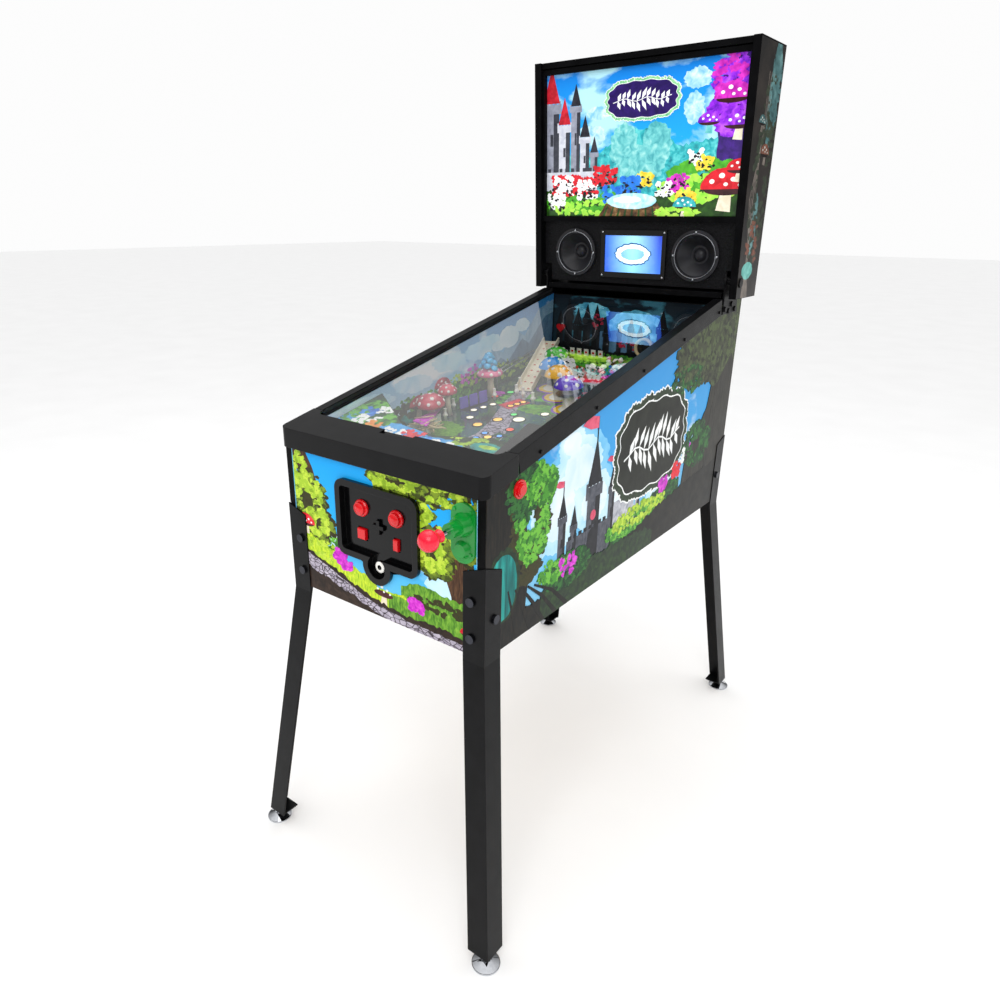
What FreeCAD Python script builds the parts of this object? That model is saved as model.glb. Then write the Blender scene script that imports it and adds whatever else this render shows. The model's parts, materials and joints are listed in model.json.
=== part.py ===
"""Home pinball machine: cabinet on four splayed legs, playfield under glass, fold-down backbox.

Millimetres. +X is the player's right, +Y runs away from the player, +Z is up. The origin is on
the floor, at the centre of the machine's footprint.
"""
import FreeCAD, Part
import math
import os
import re
from types import SimpleNamespace

SIZES = {
    # cabinet
    "cab_width": 456, "cab_length": 978, "panel": 15, "cab_bottom": 572, "neck_top": 1066,
    "front_y": -480.25, "front_top": 866,
    # plane of the side rails and plane of the playfield
    "rail_plane": 883.5, "rail_tilt": 12.34, "play_plane": 780, "play_tilt": 7,
    # legs and levelers
    "leg_top": 735, "leg_bend": 560, "leg_bottom": 22, "leg_width": 44, "leg_gauge": 3,
    "leg_splay": 67, "foot_out": 57, "foot_radius": 25.5, "stud_radius": 4.75,
    # rails, lockbar and glass
    "rail_inner": 211, "rail_outer": 231, "rail_gauge": 2, "rail_skirt": 35, "rail_start": 77.5,
    "rail_end": 870, "glass_start": 53, "glass_end": 877, "glass_half": 216, "glass_sheet": 4.8,
    "glass_depth": 8, "bar_half": 233, "bar_front": 8, "bar_depth": 60, "bar_gauge": 3,
    "bar_bottom": 846,
    # player controls
    "tray_half": 96, "tray_low": 674, "tray_high": 816, "tray_lip": 8, "tray_rim": 12,
    "bulge_radius": 33, "bulge_height": 670, "button_radius": 11.5, "bezel_radius": 15.5,
    "button_x": 41, "button_z": 768, "rocker_z": 720, "pad_z": 743, "flip_y": 83.5, "flip_z": 841,
    "plunger_x": 188.5, "plunger_z": 798.5, "rod_radius": 4.75, "running_gap": 0.06,
    "housing_low": 757.5, "housing_high": 810.5, "housing_radius": 23.5,
    # playfield
    "play_half": 211.5, "play_sheet": 12, "play_start": 45, "play_end": 872, "ball_radius": 13.5,
    "flipper_reach": 62, "bat_high": 17, "target_wide": 22, "target_high": 26, "target_deep": 28,
    "bumper_radius": 28, "cap_low": 40, "ramp_length": 215, "ramp_width": 40,
    # backbox
    "box_low": 1071, "box_high": 1565, "box_front": 853.5, "wing_outer": 259, "wing": 16,
    "face_lean": 4.4, "pivot_y": 868, "pivot_z": 1105, "bolt_radius": 4,
    "speaker_x": 153, "speaker_up": 85, "speaker_radius": 55, "pin_radius": 5,
}

# Places on the playfield: across from the mid-line, and up from the cabinet's front face
FLIPPER_PIVOTS = {1: (44, 216), -1: (-96, 216)}
TARGETS = [(-181, 465), (-174, 491), (-167, 517)]
TARGET_TURN = -15
BUMPERS = [(32, 562), (-30, 622), (-78, 672)]

# Bolts of the hinge plates: back from the cabinet's front face, and up from the floor
HINGE_BOLTS = [(908, 1056), (870, 1047), (893, 1042), (930, 1044)]

X_AXIS = FreeCAD.Vector(1, 0, 0)
Y_AXIS = FreeCAD.Vector(0, 1, 0)
Z_AXIS = FreeCAD.Vector(0, 0, 1)
TURNS = {"x": FreeCAD.Rotation(Y_AXIS, 90), "y": FreeCAD.Rotation(X_AXIS, -90), "z": FreeCAD.Rotation()}

doc = FreeCAD.newDocument("pinball_machine")
sheet = doc.addObject("Spreadsheet::Sheet", "dims")
parts = []


def fill_sheet():
    """Put every driving dimension in the sheet under its own alias, and read them back."""
    for row, (alias, number) in enumerate(SIZES.items(), start=1):
        sheet.set(f"A{row}", alias)
        sheet.set(f"B{row}", str(number))
        sheet.setAlias(f"B{row}", alias)
    doc.recompute()
    return SimpleNamespace(**{alias: float(sheet.get(alias)) for alias in SIZES})


size = fill_sheet()
RAIL_SLOPE = math.tan(math.radians(size.rail_tilt))
PLAY_SLOPE = math.tan(math.radians(size.play_tilt))


# ---- construction helpers -------------------------------------------------------------------

def bound(expression):
    """The expression with every dimension name turned into a reference to the sheet."""
    words = re.compile(r"[a-z_]+")
    return words.sub(lambda m: "dims." + m.group() if m.group() in SIZES else m.group(), str(expression))


def bind(obj, **expressions):
    for prop, expression in expressions.items():
        obj.setExpression(prop, bound(expression))


def place(obj, x, y, z):
    for letter, expression in zip("xyz", (x, y, z)):
        obj.setExpression("Placement.Base." + letter, bound(expression))
    return obj


def box(x, y, z, dx, dy, dz):
    obj = doc.addObject("Part::Box", "block")
    bind(obj, Length=dx, Width=dy, Height=dz)
    return place(obj, x, y, z)


def side_box(side, x_in, x_out, y, z, dy, dz):
    """A block between two distances from the mid-plane, on the right (1) or the left (-1)."""
    x = x_in if side > 0 else f"-({x_out})"
    return box(x, y, z, f"({x_out}) - ({x_in})", dy, dz)


def rod(axis, x, y, z, radius, length):
    obj = doc.addObject("Part::Cylinder", "rod")
    obj.Placement = FreeCAD.Placement(FreeCAD.Vector(), TURNS[axis])
    bind(obj, Radius=radius, Height=length)
    return place(obj, x, y, z)


def cone(axis, x, y, z, radius_start, radius_end, length):
    obj = doc.addObject("Part::Cone", "taper")
    obj.Placement = FreeCAD.Placement(FreeCAD.Vector(), TURNS[axis])
    bind(obj, Radius1=radius_start, Radius2=radius_end, Height=length)
    return place(obj, x, y, z)


def ball(x, y, z, radius, low_latitude=-90):
    obj = doc.addObject("Part::Sphere", "ball")
    obj.Angle1 = low_latitude
    bind(obj, Radius=radius)
    return place(obj, x, y, z)


def prism(corners, direction, length):
    """A closed outline pushed along a direction by a length bound to the sheet."""
    outline = doc.addObject("Part::Polygon", "outline")
    outline.Nodes = corners
    outline.Close = True
    obj = doc.addObject("Part::Extrusion", "prism")
    obj.Base = outline
    obj.DirMode = "Custom"
    obj.Dir = direction
    obj.Solid = True
    bind(obj, LengthFwd=length)
    return obj


def slab(x, corners_yz, length):
    """A plate across X whose outline is given from the cabinet's front face and the floor."""
    corners = [FreeCAD.Vector(x, size.front_y + y, z) for y, z in corners_yz]
    return prism(corners, X_AXIS, length)


def cut(base, *tools):
    obj = doc.addObject("Part::Cut", "cut")
    obj.Base = base
    obj.Tool = tools[0] if len(tools) == 1 else join(*tools)
    return obj


def join(*pieces):
    obj = doc.addObject("Part::MultiFuse", "join")
    obj.Shapes = list(pieces)
    return obj


def group(*pieces):
    """Separate solids that share one node."""
    obj = doc.addObject("Part::Compound", "group")
    obj.Links = list(pieces)
    return obj


def common(first, second):
    obj = doc.addObject("Part::Common", "overlap")
    obj.Base = first
    obj.Tool = second
    return obj


def round_edges(base, direction, radius, keep=lambda point: True):
    """Round the straight edges that run along a direction."""
    doc.recompute()
    chosen = []
    for number, edge in enumerate(base.Shape.Edges, start=1):
        span = edge.Vertexes[-1].Point - edge.Vertexes[0].Point
        straight = span.Length > 1e-6 and abs(abs(span.normalize() * direction) - 1) < 1e-6
        if straight and keep(edge.CenterOfMass):
            chosen.append((number, radius, radius))
    obj = doc.addObject("Part::Fillet", "rounding")
    obj.Base = base
    obj.Edges = chosen
    return obj


def mirrored(source, normal, y="0"):
    obj = doc.addObject("Part::Mirroring", "mirror")
    obj.Source = source
    obj.Normal = normal
    obj.setExpression("Base.y", bound(y))
    return obj


def tilt(obj, y, z, angle):
    """Stand a piece that was built flat onto a plane that climbs away from the player."""
    obj = group(obj)
    obj.Placement = FreeCAD.Placement(FreeCAD.Vector(), FreeCAD.Rotation(X_AXIS, 1))
    bind(obj, **{"Placement.Rotation.Angle": angle})
    return place(obj, "0", y, z)


def on_rails(obj):
    return tilt(obj, "front_y", "rail_plane", "rail_tilt")


def on_playfield(obj):
    return tilt(obj, "front_y", "play_plane", "play_tilt")


def on_face(obj):
    return tilt(obj, "front_y + box_front", "box_low", "face_lean")


def part(label, obj):
    obj.Label = label
    parts.append(obj)
    return obj


# ---- cabinet --------------------------------------------------------------------------------

def rail_height(y, below=0):
    """Height of the rail plane at a distance from the front face, less a drop square to it."""
    return size.rail_plane + RAIL_SLOPE * y - below / math.cos(math.radians(size.rail_tilt))


def leg_bolt_places():
    """Bolt centres on the right: (axis, x, y, z), where y is given from the front face."""
    front = [("y", 203, 0, 670), ("y", 203, 0, 604)]
    return front + [("x", 228, 23.5, 638)]


def leg_bolt_holes(side, rear):
    """Bores for one corner's bolts, long enough to pass the leg and the panel behind it."""
    radius = "bolt_radius + 0.1"
    tools = []
    for axis, x, y, z in leg_bolt_places():
        depth = size.cab_length - y if rear else y
        if axis == "y":
            start = f"front_y + {depth} - 20"
            tools.append(rod("y", side * x, start, z, radius, 40))
        else:
            tools.append(rod("x", side * x - 20, f"front_y + {depth}", z, radius, 40))
    return tools


def cabinet_side(side):
    drop = 15
    length = size.cab_length
    flat_start = (size.neck_top - rail_height(0, drop)) / RAIL_SLOPE
    outline = [(0, size.cab_bottom), (length, size.cab_bottom), (length, size.neck_top),
               (flat_start, size.neck_top), (0, rail_height(0, drop))]
    x = size.cab_width / 2 - size.panel if side > 0 else -size.cab_width / 2
    wall = slab(x, outline, "panel")
    low = size.play_plane - size.play_sheet - 21
    ledge_x = 201 if side > 0 else -213
    ledge = slab(ledge_x, [(40, low + 40 * PLAY_SLOPE), (860, low + 860 * PLAY_SLOPE),
                           (860, low + 20 + 860 * PLAY_SLOPE), (40, low + 20 + 40 * PLAY_SLOPE)], 12)
    button_hole = rod("x", side * 220.5 - 20, "front_y + flip_y", "flip_z", "button_radius + 1.5", 40)
    holes = leg_bolt_holes(side, False) + leg_bolt_holes(side, True)
    plate_holes = [rod("x", side * 220.5 - 20, f"front_y + {y}", z, "bolt_radius - 0.9", 40)
                   for y, z in HINGE_BOLTS]
    return cut(join(wall, ledge), button_hole, *holes, *plate_holes)


def tray_outline(inset, y, depth):
    """Rounded panel with a round bulge below, used for the tray and for its cut-out."""
    plate = box(f"-tray_half + {inset}", y, f"tray_low + {inset}", f"2*(tray_half - {inset})", depth,
                f"tray_high - tray_low - {2 * inset}")
    rounded = round_edges(plate, Y_AXIS, max(20 - inset, 6))
    bulge = rod("y", "0", y, "bulge_height", f"bulge_radius - {inset}", depth)
    return join(rounded, bulge)


def cabinet_front():
    wall = box("-cab_width/2 + panel", "front_y", "cab_bottom", "cab_width - 2*panel", "panel",
               "front_top - cab_bottom")
    opening = tray_outline(8, "front_y - 5", "panel + 10")
    barrel = rod("y", "plunger_x", "front_y - 5", "plunger_z", 14.5, "panel + 10")
    holes = leg_bolt_holes(1, False) + leg_bolt_holes(-1, False)
    return cut(wall, opening, barrel, *holes)


def cabinet_rear():
    wall = box("-cab_width/2 + panel", "front_y + cab_length - panel", "cab_bottom",
               "cab_width - 2*panel", "panel", "neck_top - cab_bottom")
    vents = [rod("y", x, "front_y + cab_length - panel - 5", z, 9, "panel + 10")
             for x in (-90, -45, 0, 45, 90) for z in (700, 745)]
    holes = leg_bolt_holes(1, True) + leg_bolt_holes(-1, True)
    return cut(wall, *vents, *holes)


def cabinet_floor():
    plate = box("-cab_width/2 + panel", "front_y + panel", "cab_bottom", "cab_width - 2*panel",
                "cab_length - 2*panel", 12)
    return cut(plate, rod("z", "0", "front_y + 330", "cab_bottom - 5", 60, 30))


# ---- legs and levelers ----------------------------------------------------------------------

def leg():
    """Front right leg: an angle section, upright on the cabinet corner and splayed below it."""
    corner_x = size.cab_width / 2 + size.leg_gauge
    corner_y = size.front_y - size.leg_gauge
    wide = size.leg_width
    gauge = size.leg_gauge

    def flange_front(z):
        return FreeCAD.Vector(corner_x - wide, corner_y, z)

    front = prism([flange_front(size.leg_bend), FreeCAD.Vector(corner_x, corner_y, size.leg_bend),
                   FreeCAD.Vector(corner_x, corner_y, size.leg_top), flange_front(size.leg_top - 16)],
                  Y_AXIS, "leg_gauge")
    inner_x = corner_x - gauge
    side = prism([FreeCAD.Vector(inner_x, corner_y, size.leg_bend),
                  FreeCAD.Vector(inner_x, corner_y + wide, size.leg_bend),
                  FreeCAD.Vector(inner_x, corner_y + wide, size.leg_top - 16),
                  FreeCAD.Vector(inner_x, corner_y, size.leg_top)], X_AXIS, "leg_gauge")
    drop = size.leg_bend - size.leg_bottom
    splay = FreeCAD.Vector(size.leg_splay, -size.leg_splay, -drop)
    section = [(0, 0), (-wide, 0), (-wide, gauge), (-gauge, gauge), (-gauge, wide), (0, wide)]
    corners = [FreeCAD.Vector(corner_x + dx, corner_y + dy, size.leg_bend) for dx, dy in section]
    shank = prism(corners, splay, f"sqrt(2*leg_splay*leg_splay + {drop}*{drop})")
    pad = box("cab_width/2 + leg_splay - 38", "front_y - leg_splay", "leg_bottom", 38, 38, 3)
    stud_hole = rod("z", "cab_width/2 + foot_out", "front_y - foot_out", "leg_bottom - 5",
                    "stud_radius + running_gap", 20)
    holes = leg_bolt_holes(1, False)
    return cut(join(front, side, shank, pad), stud_hole, *holes)


def legs():
    middle = "front_y + cab_length/2"
    front_right = leg()
    front_left = mirrored(front_right, X_AXIS)
    part("leg_front_right", front_right)
    part("leg_front_left", front_left)
    part("leg_rear_right", mirrored(front_right, Y_AXIS, middle))
    part("leg_rear_left", mirrored(front_left, Y_AXIS, middle))


def leg_bolts():
    """Three dome-headed bolts at each corner, each with its shank through leg and panel."""
    pieces = []
    for side in (1, -1):
        for rear in (False, True):
            for axis, x, y, z in leg_bolt_places():
                pieces.append(leg_bolt(axis, side, rear, x, y, z))
    return group(*pieces)


def leg_bolt(axis, side, rear, x, y, z):
    depth = size.cab_length - y if rear else y
    face = size.leg_gauge
    shank = size.leg_gauge + size.panel + 6
    if axis == "x":
        start = side * (x + face)
        head = rod("x", start if side > 0 else start - 4, f"front_y + {depth}", z, 8, 4)
        body = rod("x", start - shank if side > 0 else start, f"front_y + {depth}", z, "bolt_radius", shank)
    else:
        start = depth + face if rear else depth - face
        head = rod("y", side * x, f"front_y + {start if rear else start - 4}", z, 8, 4)
        body = rod("y", side * x, f"front_y + {start - shank if rear else start}", z, "bolt_radius", shank)
    return join(head, body)


def leveler(side, rear):
    """Chrome foot: a flared disc, a lock nut and a threaded stud."""
    y = "front_y + cab_length + foot_out" if rear else "front_y - foot_out"
    x = f"{side}*(cab_width/2 + foot_out)"
    disc = rod("z", x, y, 0, "foot_radius", 3)
    flare = cone("z", x, y, 3, "foot_radius - 1", 8, 8)
    nut = doc.addObject("Part::Prism", "nut")
    nut.Polygon = 6
    bind(nut, Circumradius=9.5, Height=8)
    place(nut, x, y, 11)
    return join(disc, flare, nut, rod("z", x, y, 11, "stud_radius", 45))


# ---- glass, rails and lockbar ---------------------------------------------------------------

def side_rail(side):
    length = "rail_end - rail_start"
    top = side_box(side, "rail_inner", "rail_outer", "rail_start", "-rail_gauge", length, "rail_gauge")
    skirt = side_box(side, "rail_outer - rail_gauge", "rail_outer", "rail_start", "-rail_skirt",
                     length, "rail_skirt")
    screws = [rod("x", side * 232 - 1.5, f"rail_start + {gap}", "-rail_skirt + 10", 3.2, 3)
              for gap in range(60, 800, 180)]
    return on_rails(join(top, skirt, *screws))


def glass_channel():
    strips = []
    for side in (1, -1):
        strip = side_box(side, 211.3, 228, "rail_start", -15, "glass_end - rail_start", 13)
        slot = side_box(side, 205, "glass_half + 0.5", "rail_start - 5", "-glass_depth - glass_sheet",
                        "glass_end - rail_start + 10", "glass_sheet + 0.2")
        strips.append(cut(strip, slot))
    return on_rails(group(*strips))


def playfield_glass():
    return on_rails(box("-glass_half", "glass_start", "-glass_depth - glass_sheet", "2*glass_half",
                        "glass_end - glass_start", "glass_sheet"))


def bar_block(half, front, back, lowest, below, corner):
    """Wedge under the rail plane with two round front corners."""
    y_low = -front
    outline = [(y_low, lowest), (back, rail_height(back, size.rail_skirt)), (back, rail_height(back, below)),
               (y_low, rail_height(y_low, below))]
    wedge = slab(-half, outline, 2 * half)
    column = box(-half, f"front_y - {front}", 800, 2 * half, back + front, 150)
    rounded = round_edges(column, Z_AXIS, corner, lambda point: point.y < size.front_y)
    return common(wedge, rounded)


def lockbar():
    """Pressed cover over the front of the glass: top, front skirt and two short side skirts."""
    outer = bar_block(size.bar_half, size.bar_front, 75, size.bar_bottom, 0, 14)
    wall = size.bar_gauge
    inner = bar_block(size.bar_half - wall + 0.5, size.bar_front - wall, 80, size.bar_bottom - 10, wall, 11)
    mouth = box("-rail_inner + 3", "front_y + bar_depth", 840, "2*(rail_inner - 3)", 40, 120)
    rounded_mouth = round_edges(mouth, Z_AXIS, 14)
    notch = box(-35, "front_y + bar_depth - 14", 840, 70, 40, 120)
    return cut(outer, inner, rounded_mouth, notch)


# ---- player controls ------------------------------------------------------------------------

def control_tray():
    """Moulded panel with a raised rim, a sunk floor and openings for its controls."""
    lip = tray_outline(0, "front_y - tray_lip", "tray_lip")
    tub = tray_outline(9, "front_y", 10)
    well = tray_outline(size.tray_rim, "front_y - tray_lip - 2", "tray_lip + 6")
    openings = [rod("y", x, "front_y - 10", "button_z", "button_radius + 1", 30)
                for x in ("-button_x", "button_x")]
    openings.append(box(-52, "front_y - 2", "rocker_z - 12", 22, 20, 24))
    openings.append(box(33, "front_y - 2", "rocker_z - 12.5", 14, 20, 25))
    openings.append(box(-14, "front_y - 2", "pad_z - 4.5", 28, 20, 9))
    openings.append(box(-4.5, "front_y - 2", "pad_z - 14", 9, 20, 28))
    badge = rod("y", 0, "front_y + 1", 668, 11, 3)
    return group(cut(join(lip, tub), well, *openings), badge)


def panel_button(x):
    cap = rod("y", x, "front_y - 5", "button_z", "button_radius", 17)
    crown = common(rod("y", x, "front_y - 8", "button_z", "button_radius - 1", 3),
                   ball(x, "front_y + 6.5", "button_z", 15))
    return join(cap, crown)


def flipper_button(side):
    start = "cab_width/2 - 14" if side > 0 else "-cab_width/2 - 8"
    cap = rod("x", start, "front_y + flip_y", "flip_z", "button_radius", 22)
    crown_x = "cab_width/2 + 8" if side > 0 else "-cab_width/2 - 10"
    crown = rod("x", crown_x, "front_y + flip_y", "flip_z", "button_radius - 2.5", 2)
    return join(cap, crown)


def button_bezels():
    """Threaded collars that hold the round buttons in the tray and in the cabinet sides."""
    pieces = []
    for x in ("-button_x", "button_x"):
        ring = cone("y", x, "front_y - 1", "button_z", "bezel_radius - 1.5", "bezel_radius", 2)
        flat = rod("y", x, "front_y + 1", "button_z", "bezel_radius", 3)
        bore = rod("y", x, "front_y - 5", "button_z", "button_radius + 0.3", 20)
        pieces.append(cut(join(ring, flat), bore))
    for side in (1, -1):
        start = "cab_width/2" if side > 0 else "-cab_width/2 - 5"
        ring = rod("x", start, "front_y + flip_y", "flip_z", "bezel_radius", 5)
        sleeve_start = "cab_width/2 - panel - 6" if side > 0 else "-cab_width/2"
        sleeve = rod("x", sleeve_start, "front_y + flip_y", "flip_z", "button_radius + 1.4", "panel + 6")
        bore = rod("x", side * 222 - 30, "front_y + flip_y", "flip_z", "button_radius + 0.3", 60)
        pieces.append(cut(join(ring, sleeve), bore))
    return group(*pieces)


def rocker(x, wide, high):
    key = box(x - wide / 2, "front_y - 1", f"rocker_z - {high / 2}", wide, 10, high)
    return round_edges(key, X_AXIS, 2)


def menu_pad():
    across = box(-12.5, "front_y - 1", "pad_z - 3.5", 25, 8, 7)
    upright = box(-3.5, "front_y - 1", "pad_z - 12.5", 7, 8, 25)
    return join(across, upright)


# ---- plunger --------------------------------------------------------------------------------

def plunger_housing():
    """Stadium-shaped plate with a stepped boss, a spring tube behind it and four screws."""
    middle = box("plunger_x - housing_radius", "front_y - 6", "housing_low", "2*housing_radius", 6,
                 "housing_high - housing_low")
    plate = join(middle, rod("y", "plunger_x", "front_y - 6", "housing_low", "housing_radius", 6),
                 rod("y", "plunger_x", "front_y - 6", "housing_high", "housing_radius", 6))
    boss = cone("y", "plunger_x", "front_y - 22", "plunger_z", 15, 20, 16)
    nose = rod("y", "plunger_x", "front_y - 40", "plunger_z", 12.5, 40)
    tube = rod("y", "plunger_x", "front_y", "plunger_z", 14, 32)
    lower_boss = cone("y", "plunger_x", "front_y - 14", "housing_low", 11, 15, 8)
    screws = [rod("y", f"plunger_x + {dx}", "front_y - 8", z, 3, 2)
              for dx in (-16, 16) for z in (752, 822)]
    cavity = rod("y", "plunger_x", "front_y - 36", "plunger_z", 9, 80)
    rod_bore = rod("y", "plunger_x", "front_y - 50", "plunger_z", "rod_radius + running_gap", 90)
    return cut(join(plate, boss, nose, tube, lower_boss, *screws), cavity, rod_bore)


def plunger_rod():
    shaft = rod("y", "plunger_x", "front_y - 72", "plunger_z", "rod_radius", 127)
    washer = rod("y", "plunger_x", "front_y + 44", "plunger_z", 8, 2)
    tip = rod("y", "plunger_x", "front_y + 50", "plunger_z", 6, 8)
    return join(shaft, washer, tip)


def plunger_knob():
    """Turned knob: a sphere on a short waisted neck, bored for the rod."""
    body = doc.addObject("PartDesign::Body", "knob_body")
    sketch = body.newObject("Sketcher::SketchObject", "knob_profile")
    plane = next(f for f in body.Origin.OriginFeatures if f.Role == "XY_Plane")
    sketch.AttachmentSupport = [(plane, "")]
    sketch.MapMode = "FlatFace"
    bore = size.rod_radius
    arc_end = FreeCAD.Vector(11, 26, 0)
    rim = [FreeCAD.Vector(0, 0, 0), FreeCAD.Vector(17, 15, 0), arc_end]
    sketch.addGeometry(Part.Arc(rim[0], FreeCAD.Vector(12.5, 4.5, 0), rim[1]))
    sketch.addGeometry(Part.Arc(rim[1], FreeCAD.Vector(15.4, 22, 0), arc_end))
    straight = [arc_end, FreeCAD.Vector(9, 32, 0), FreeCAD.Vector(10.5, 40, 0), FreeCAD.Vector(bore, 40, 0),
                FreeCAD.Vector(bore, 28, 0), FreeCAD.Vector(0, 28, 0), rim[0]]
    for start, end in zip(straight, straight[1:]):
        sketch.addGeometry(Part.LineSegment(start, end))
    turned = body.newObject("PartDesign::Revolution", "knob_turned")
    turned.Profile = sketch
    turned.ReferenceAxis = (sketch, ["V_Axis"])
    turned.Angle = 360
    body.Tip = turned
    place(body, "plunger_x", "front_y - 100.0", "plunger_z")
    return body


def plunger_spring():
    """Compression spring in the housing's tube, from its nose to the washer on the rod."""
    helix = doc.addObject("Part::Helix", "coil")
    helix.Pitch = 6.5
    helix.Height = 71.5
    helix.Radius = 7
    wire = doc.addObject("Part::Circle", "wire")
    wire.Radius = 0.7
    wire.Placement = FreeCAD.Placement(FreeCAD.Vector(7, 0, 0), FreeCAD.Rotation(X_AXIS, 90))
    coil = doc.addObject("Part::Sweep", "coil_sweep")
    coil.Sections = [wire]
    coil.Spine = (helix, [])
    coil.Solid = True
    coil.Frenet = True
    obj = group(coil)
    obj.Placement = FreeCAD.Placement(FreeCAD.Vector(), TURNS["y"])
    return place(obj, "plunger_x", "front_y - 33", "plunger_z")


# ---- playfield ------------------------------------------------------------------------------
# These pieces are built flat, with z = 0 on the playfield's top, then tilted together.

def turned_box(x, y, z, turn, dx, dy, dz):
    """A block centred on x and y and turned about the vertical."""
    obj = doc.addObject("Part::Box", "block")
    bind(obj, Length=dx, Width=dy, Height=dz)
    rotation = FreeCAD.Rotation(Z_AXIS, turn)
    corner = rotation.multVec(FreeCAD.Vector(-dx / 2, -dy / 2, 0))
    obj.Placement = FreeCAD.Placement(FreeCAD.Vector(x, y, z) + corner, rotation)
    return obj


def playfield():
    board = box("-play_half", "play_start", "-play_sheet", "2*play_half", "play_end - play_start",
                "play_sheet")
    shafts = [rod("z", x, y, -30, "4 + running_gap", 60) for x, y in FLIPPER_PIVOTS.values()]
    slots = [turned_box(x, y, -30, TARGET_TURN, 4, size.target_wide + 1.2, 60) for x, y in TARGETS]
    drain = box(-60, 96, -30, 68, 34, 60)
    return on_playfield(cut(board, drain, *shafts, *slots))


def apron():
    """Printed cover over the near end of the playfield, just under the glass."""
    outline = [(-210, 58), (210, 58), (210, 150), (120, 150), (20, 122), (-66, 134), (-210, 232)]
    corners = [FreeCAD.Vector(x, y, -31) for x, y in outline]
    plate = prism(corners, Z_AXIS, 2)
    feet = [box(x, 66, -105, 12, 40, 74) for x in (-206, 150)]
    return on_rails(join(plate, *feet))


def backboard():
    return cut(box("-play_half", "front_y + play_end - 4", 889, "2*play_half", 6, 165),
               rod("y", 150, "front_y + play_end - 10", 960, 20, 20))


def flipper(side):
    """Bat with a round heel and tip, on a shaft through the playfield."""
    x, y = FLIPPER_PIVOTS[side]
    turn = math.radians(-30)
    reach = size.flipper_reach
    tip_x = x - side * reach * math.cos(turn)
    tip_y = y + reach * math.sin(turn)
    heel_radius, tip_radius = 10, 5
    lean = math.asin((heel_radius - tip_radius) / reach)
    along = math.atan2(tip_y - y, tip_x - x)
    corners = []
    for cx, cy, radius, sign in ((x, y, heel_radius, 1), (tip_x, tip_y, tip_radius, 1),
                                 (tip_x, tip_y, tip_radius, -1), (x, y, heel_radius, -1)):
        angle = along + sign * (math.pi / 2 - lean)
        corners.append(FreeCAD.Vector(cx + radius * math.cos(angle), cy + radius * math.sin(angle), 3))
    bat = prism(corners, Z_AXIS, "bat_high")
    heel = rod("z", x, y, 3, heel_radius, "bat_high")
    tip = rod("z", tip_x, tip_y, 3, tip_radius, "bat_high")
    shaft = rod("z", x, y, -40, 4, 50)
    return on_playfield(join(bat, heel, tip, shaft))


def lane_guides():
    """Slingshot blocks above the flippers and the wall of the shooter lane."""
    pieces = []
    for side, wall_x in ((1, 118), (-1, -170)):
        corners = [FreeCAD.Vector(wall_x, y, 0) for y in (300, 372)]
        corners.append(FreeCAD.Vector(wall_x - side * 34, 286, 0))
        pieces.append(prism(corners, Z_AXIS, 20))
        pieces.append(box(wall_x + side * 18 - 1.5, 262, 0, 3, 110, 16))
    pieces.append(box(166, 160, 0, 4, 560, 24))
    return on_playfield(group(*pieces))


def drop_target(x, y):
    """Flat flag that stands in a slot and drops below the surface when hit."""
    flag = turned_box(x, y, -size.target_deep, TARGET_TURN, 3, size.target_wide,
                      size.target_deep + size.target_high)
    return on_playfield(flag)


def bumper_bodies():
    pieces = []
    for x, y in BUMPERS:
        foot = cone("z", x, y, 0, "bumper_radius - 4", 16, 6)
        post = rod("z", x, y, 0, 14, 52)
        pieces.append(join(foot, post))
    return on_playfield(group(*pieces))


def bumper_caps():
    """Mushroom-shaped covers on the bumper posts."""
    pieces = [ball(x, y, "cap_low", "bumper_radius + 7", 20.5) for x, y in BUMPERS]
    trims = [rod("z", x, y, "cap_low", "bumper_radius + 10", 12.1) for x, y in BUMPERS]
    return on_playfield(group(*[cut(cap, trim) for cap, trim in zip(pieces, trims)]))


def bumper_ring(x, y):
    """Metal ring that snaps down around the post to kick the ball."""
    disc = rod("z", x, y, 34, "bumper_radius", 2.5)
    return on_playfield(cut(disc, rod("z", x, y, 20, 14.3, 40)))


def ramp():
    """Straight channel that turns left as it climbs away from the player, with one post."""
    low_corner = FreeCAD.Vector(-124 - size.ramp_width / 2, 616, 1)
    turn_left, climb = 14, 17
    channel = join(box(0, 0, 0, "ramp_width", "ramp_length", 2), box(0, 0, 0, 2, "ramp_length", 14),
                   box("ramp_width - 2", 0, 0, 2, "ramp_length", 14))
    channel.Placement = FreeCAD.Placement(low_corner, FreeCAD.Rotation(turn_left, 0, climb))
    post = rod("z", -175, 775, 0, 3, 42)
    return on_playfield(join(channel, post))


def game_ball():
    """Steel ball waiting in the shooter lane just ahead of the plunger's tip."""
    return on_playfield(ball("plunger_x", 77, "ball_radius + 0.05", "ball_radius"))


# ---- backbox --------------------------------------------------------------------------------

def backbox_side(side):
    outline = [(size.box_front, size.box_low), (815.1, size.box_high), (963.2, size.box_high + 2),
               (972.6, size.box_low)]
    x = size.wing_outer - size.wing if side > 0 else -size.wing_outer
    pivot_hole = rod("x", side * 250 - 20, "front_y + pivot_y", "pivot_z", "pin_radius + running_gap", 40)
    return cut(slab(x, outline, "wing"), pivot_hole)


def backbox_top():
    half = "wing_outer - wing"
    return box(f"-({half})", "front_y + 821", 1553, f"2*({half})", 141, 12)


def backbox_floor():
    return box(-224, "front_y + 859", "box_low", 448, 109, 12)


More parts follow.
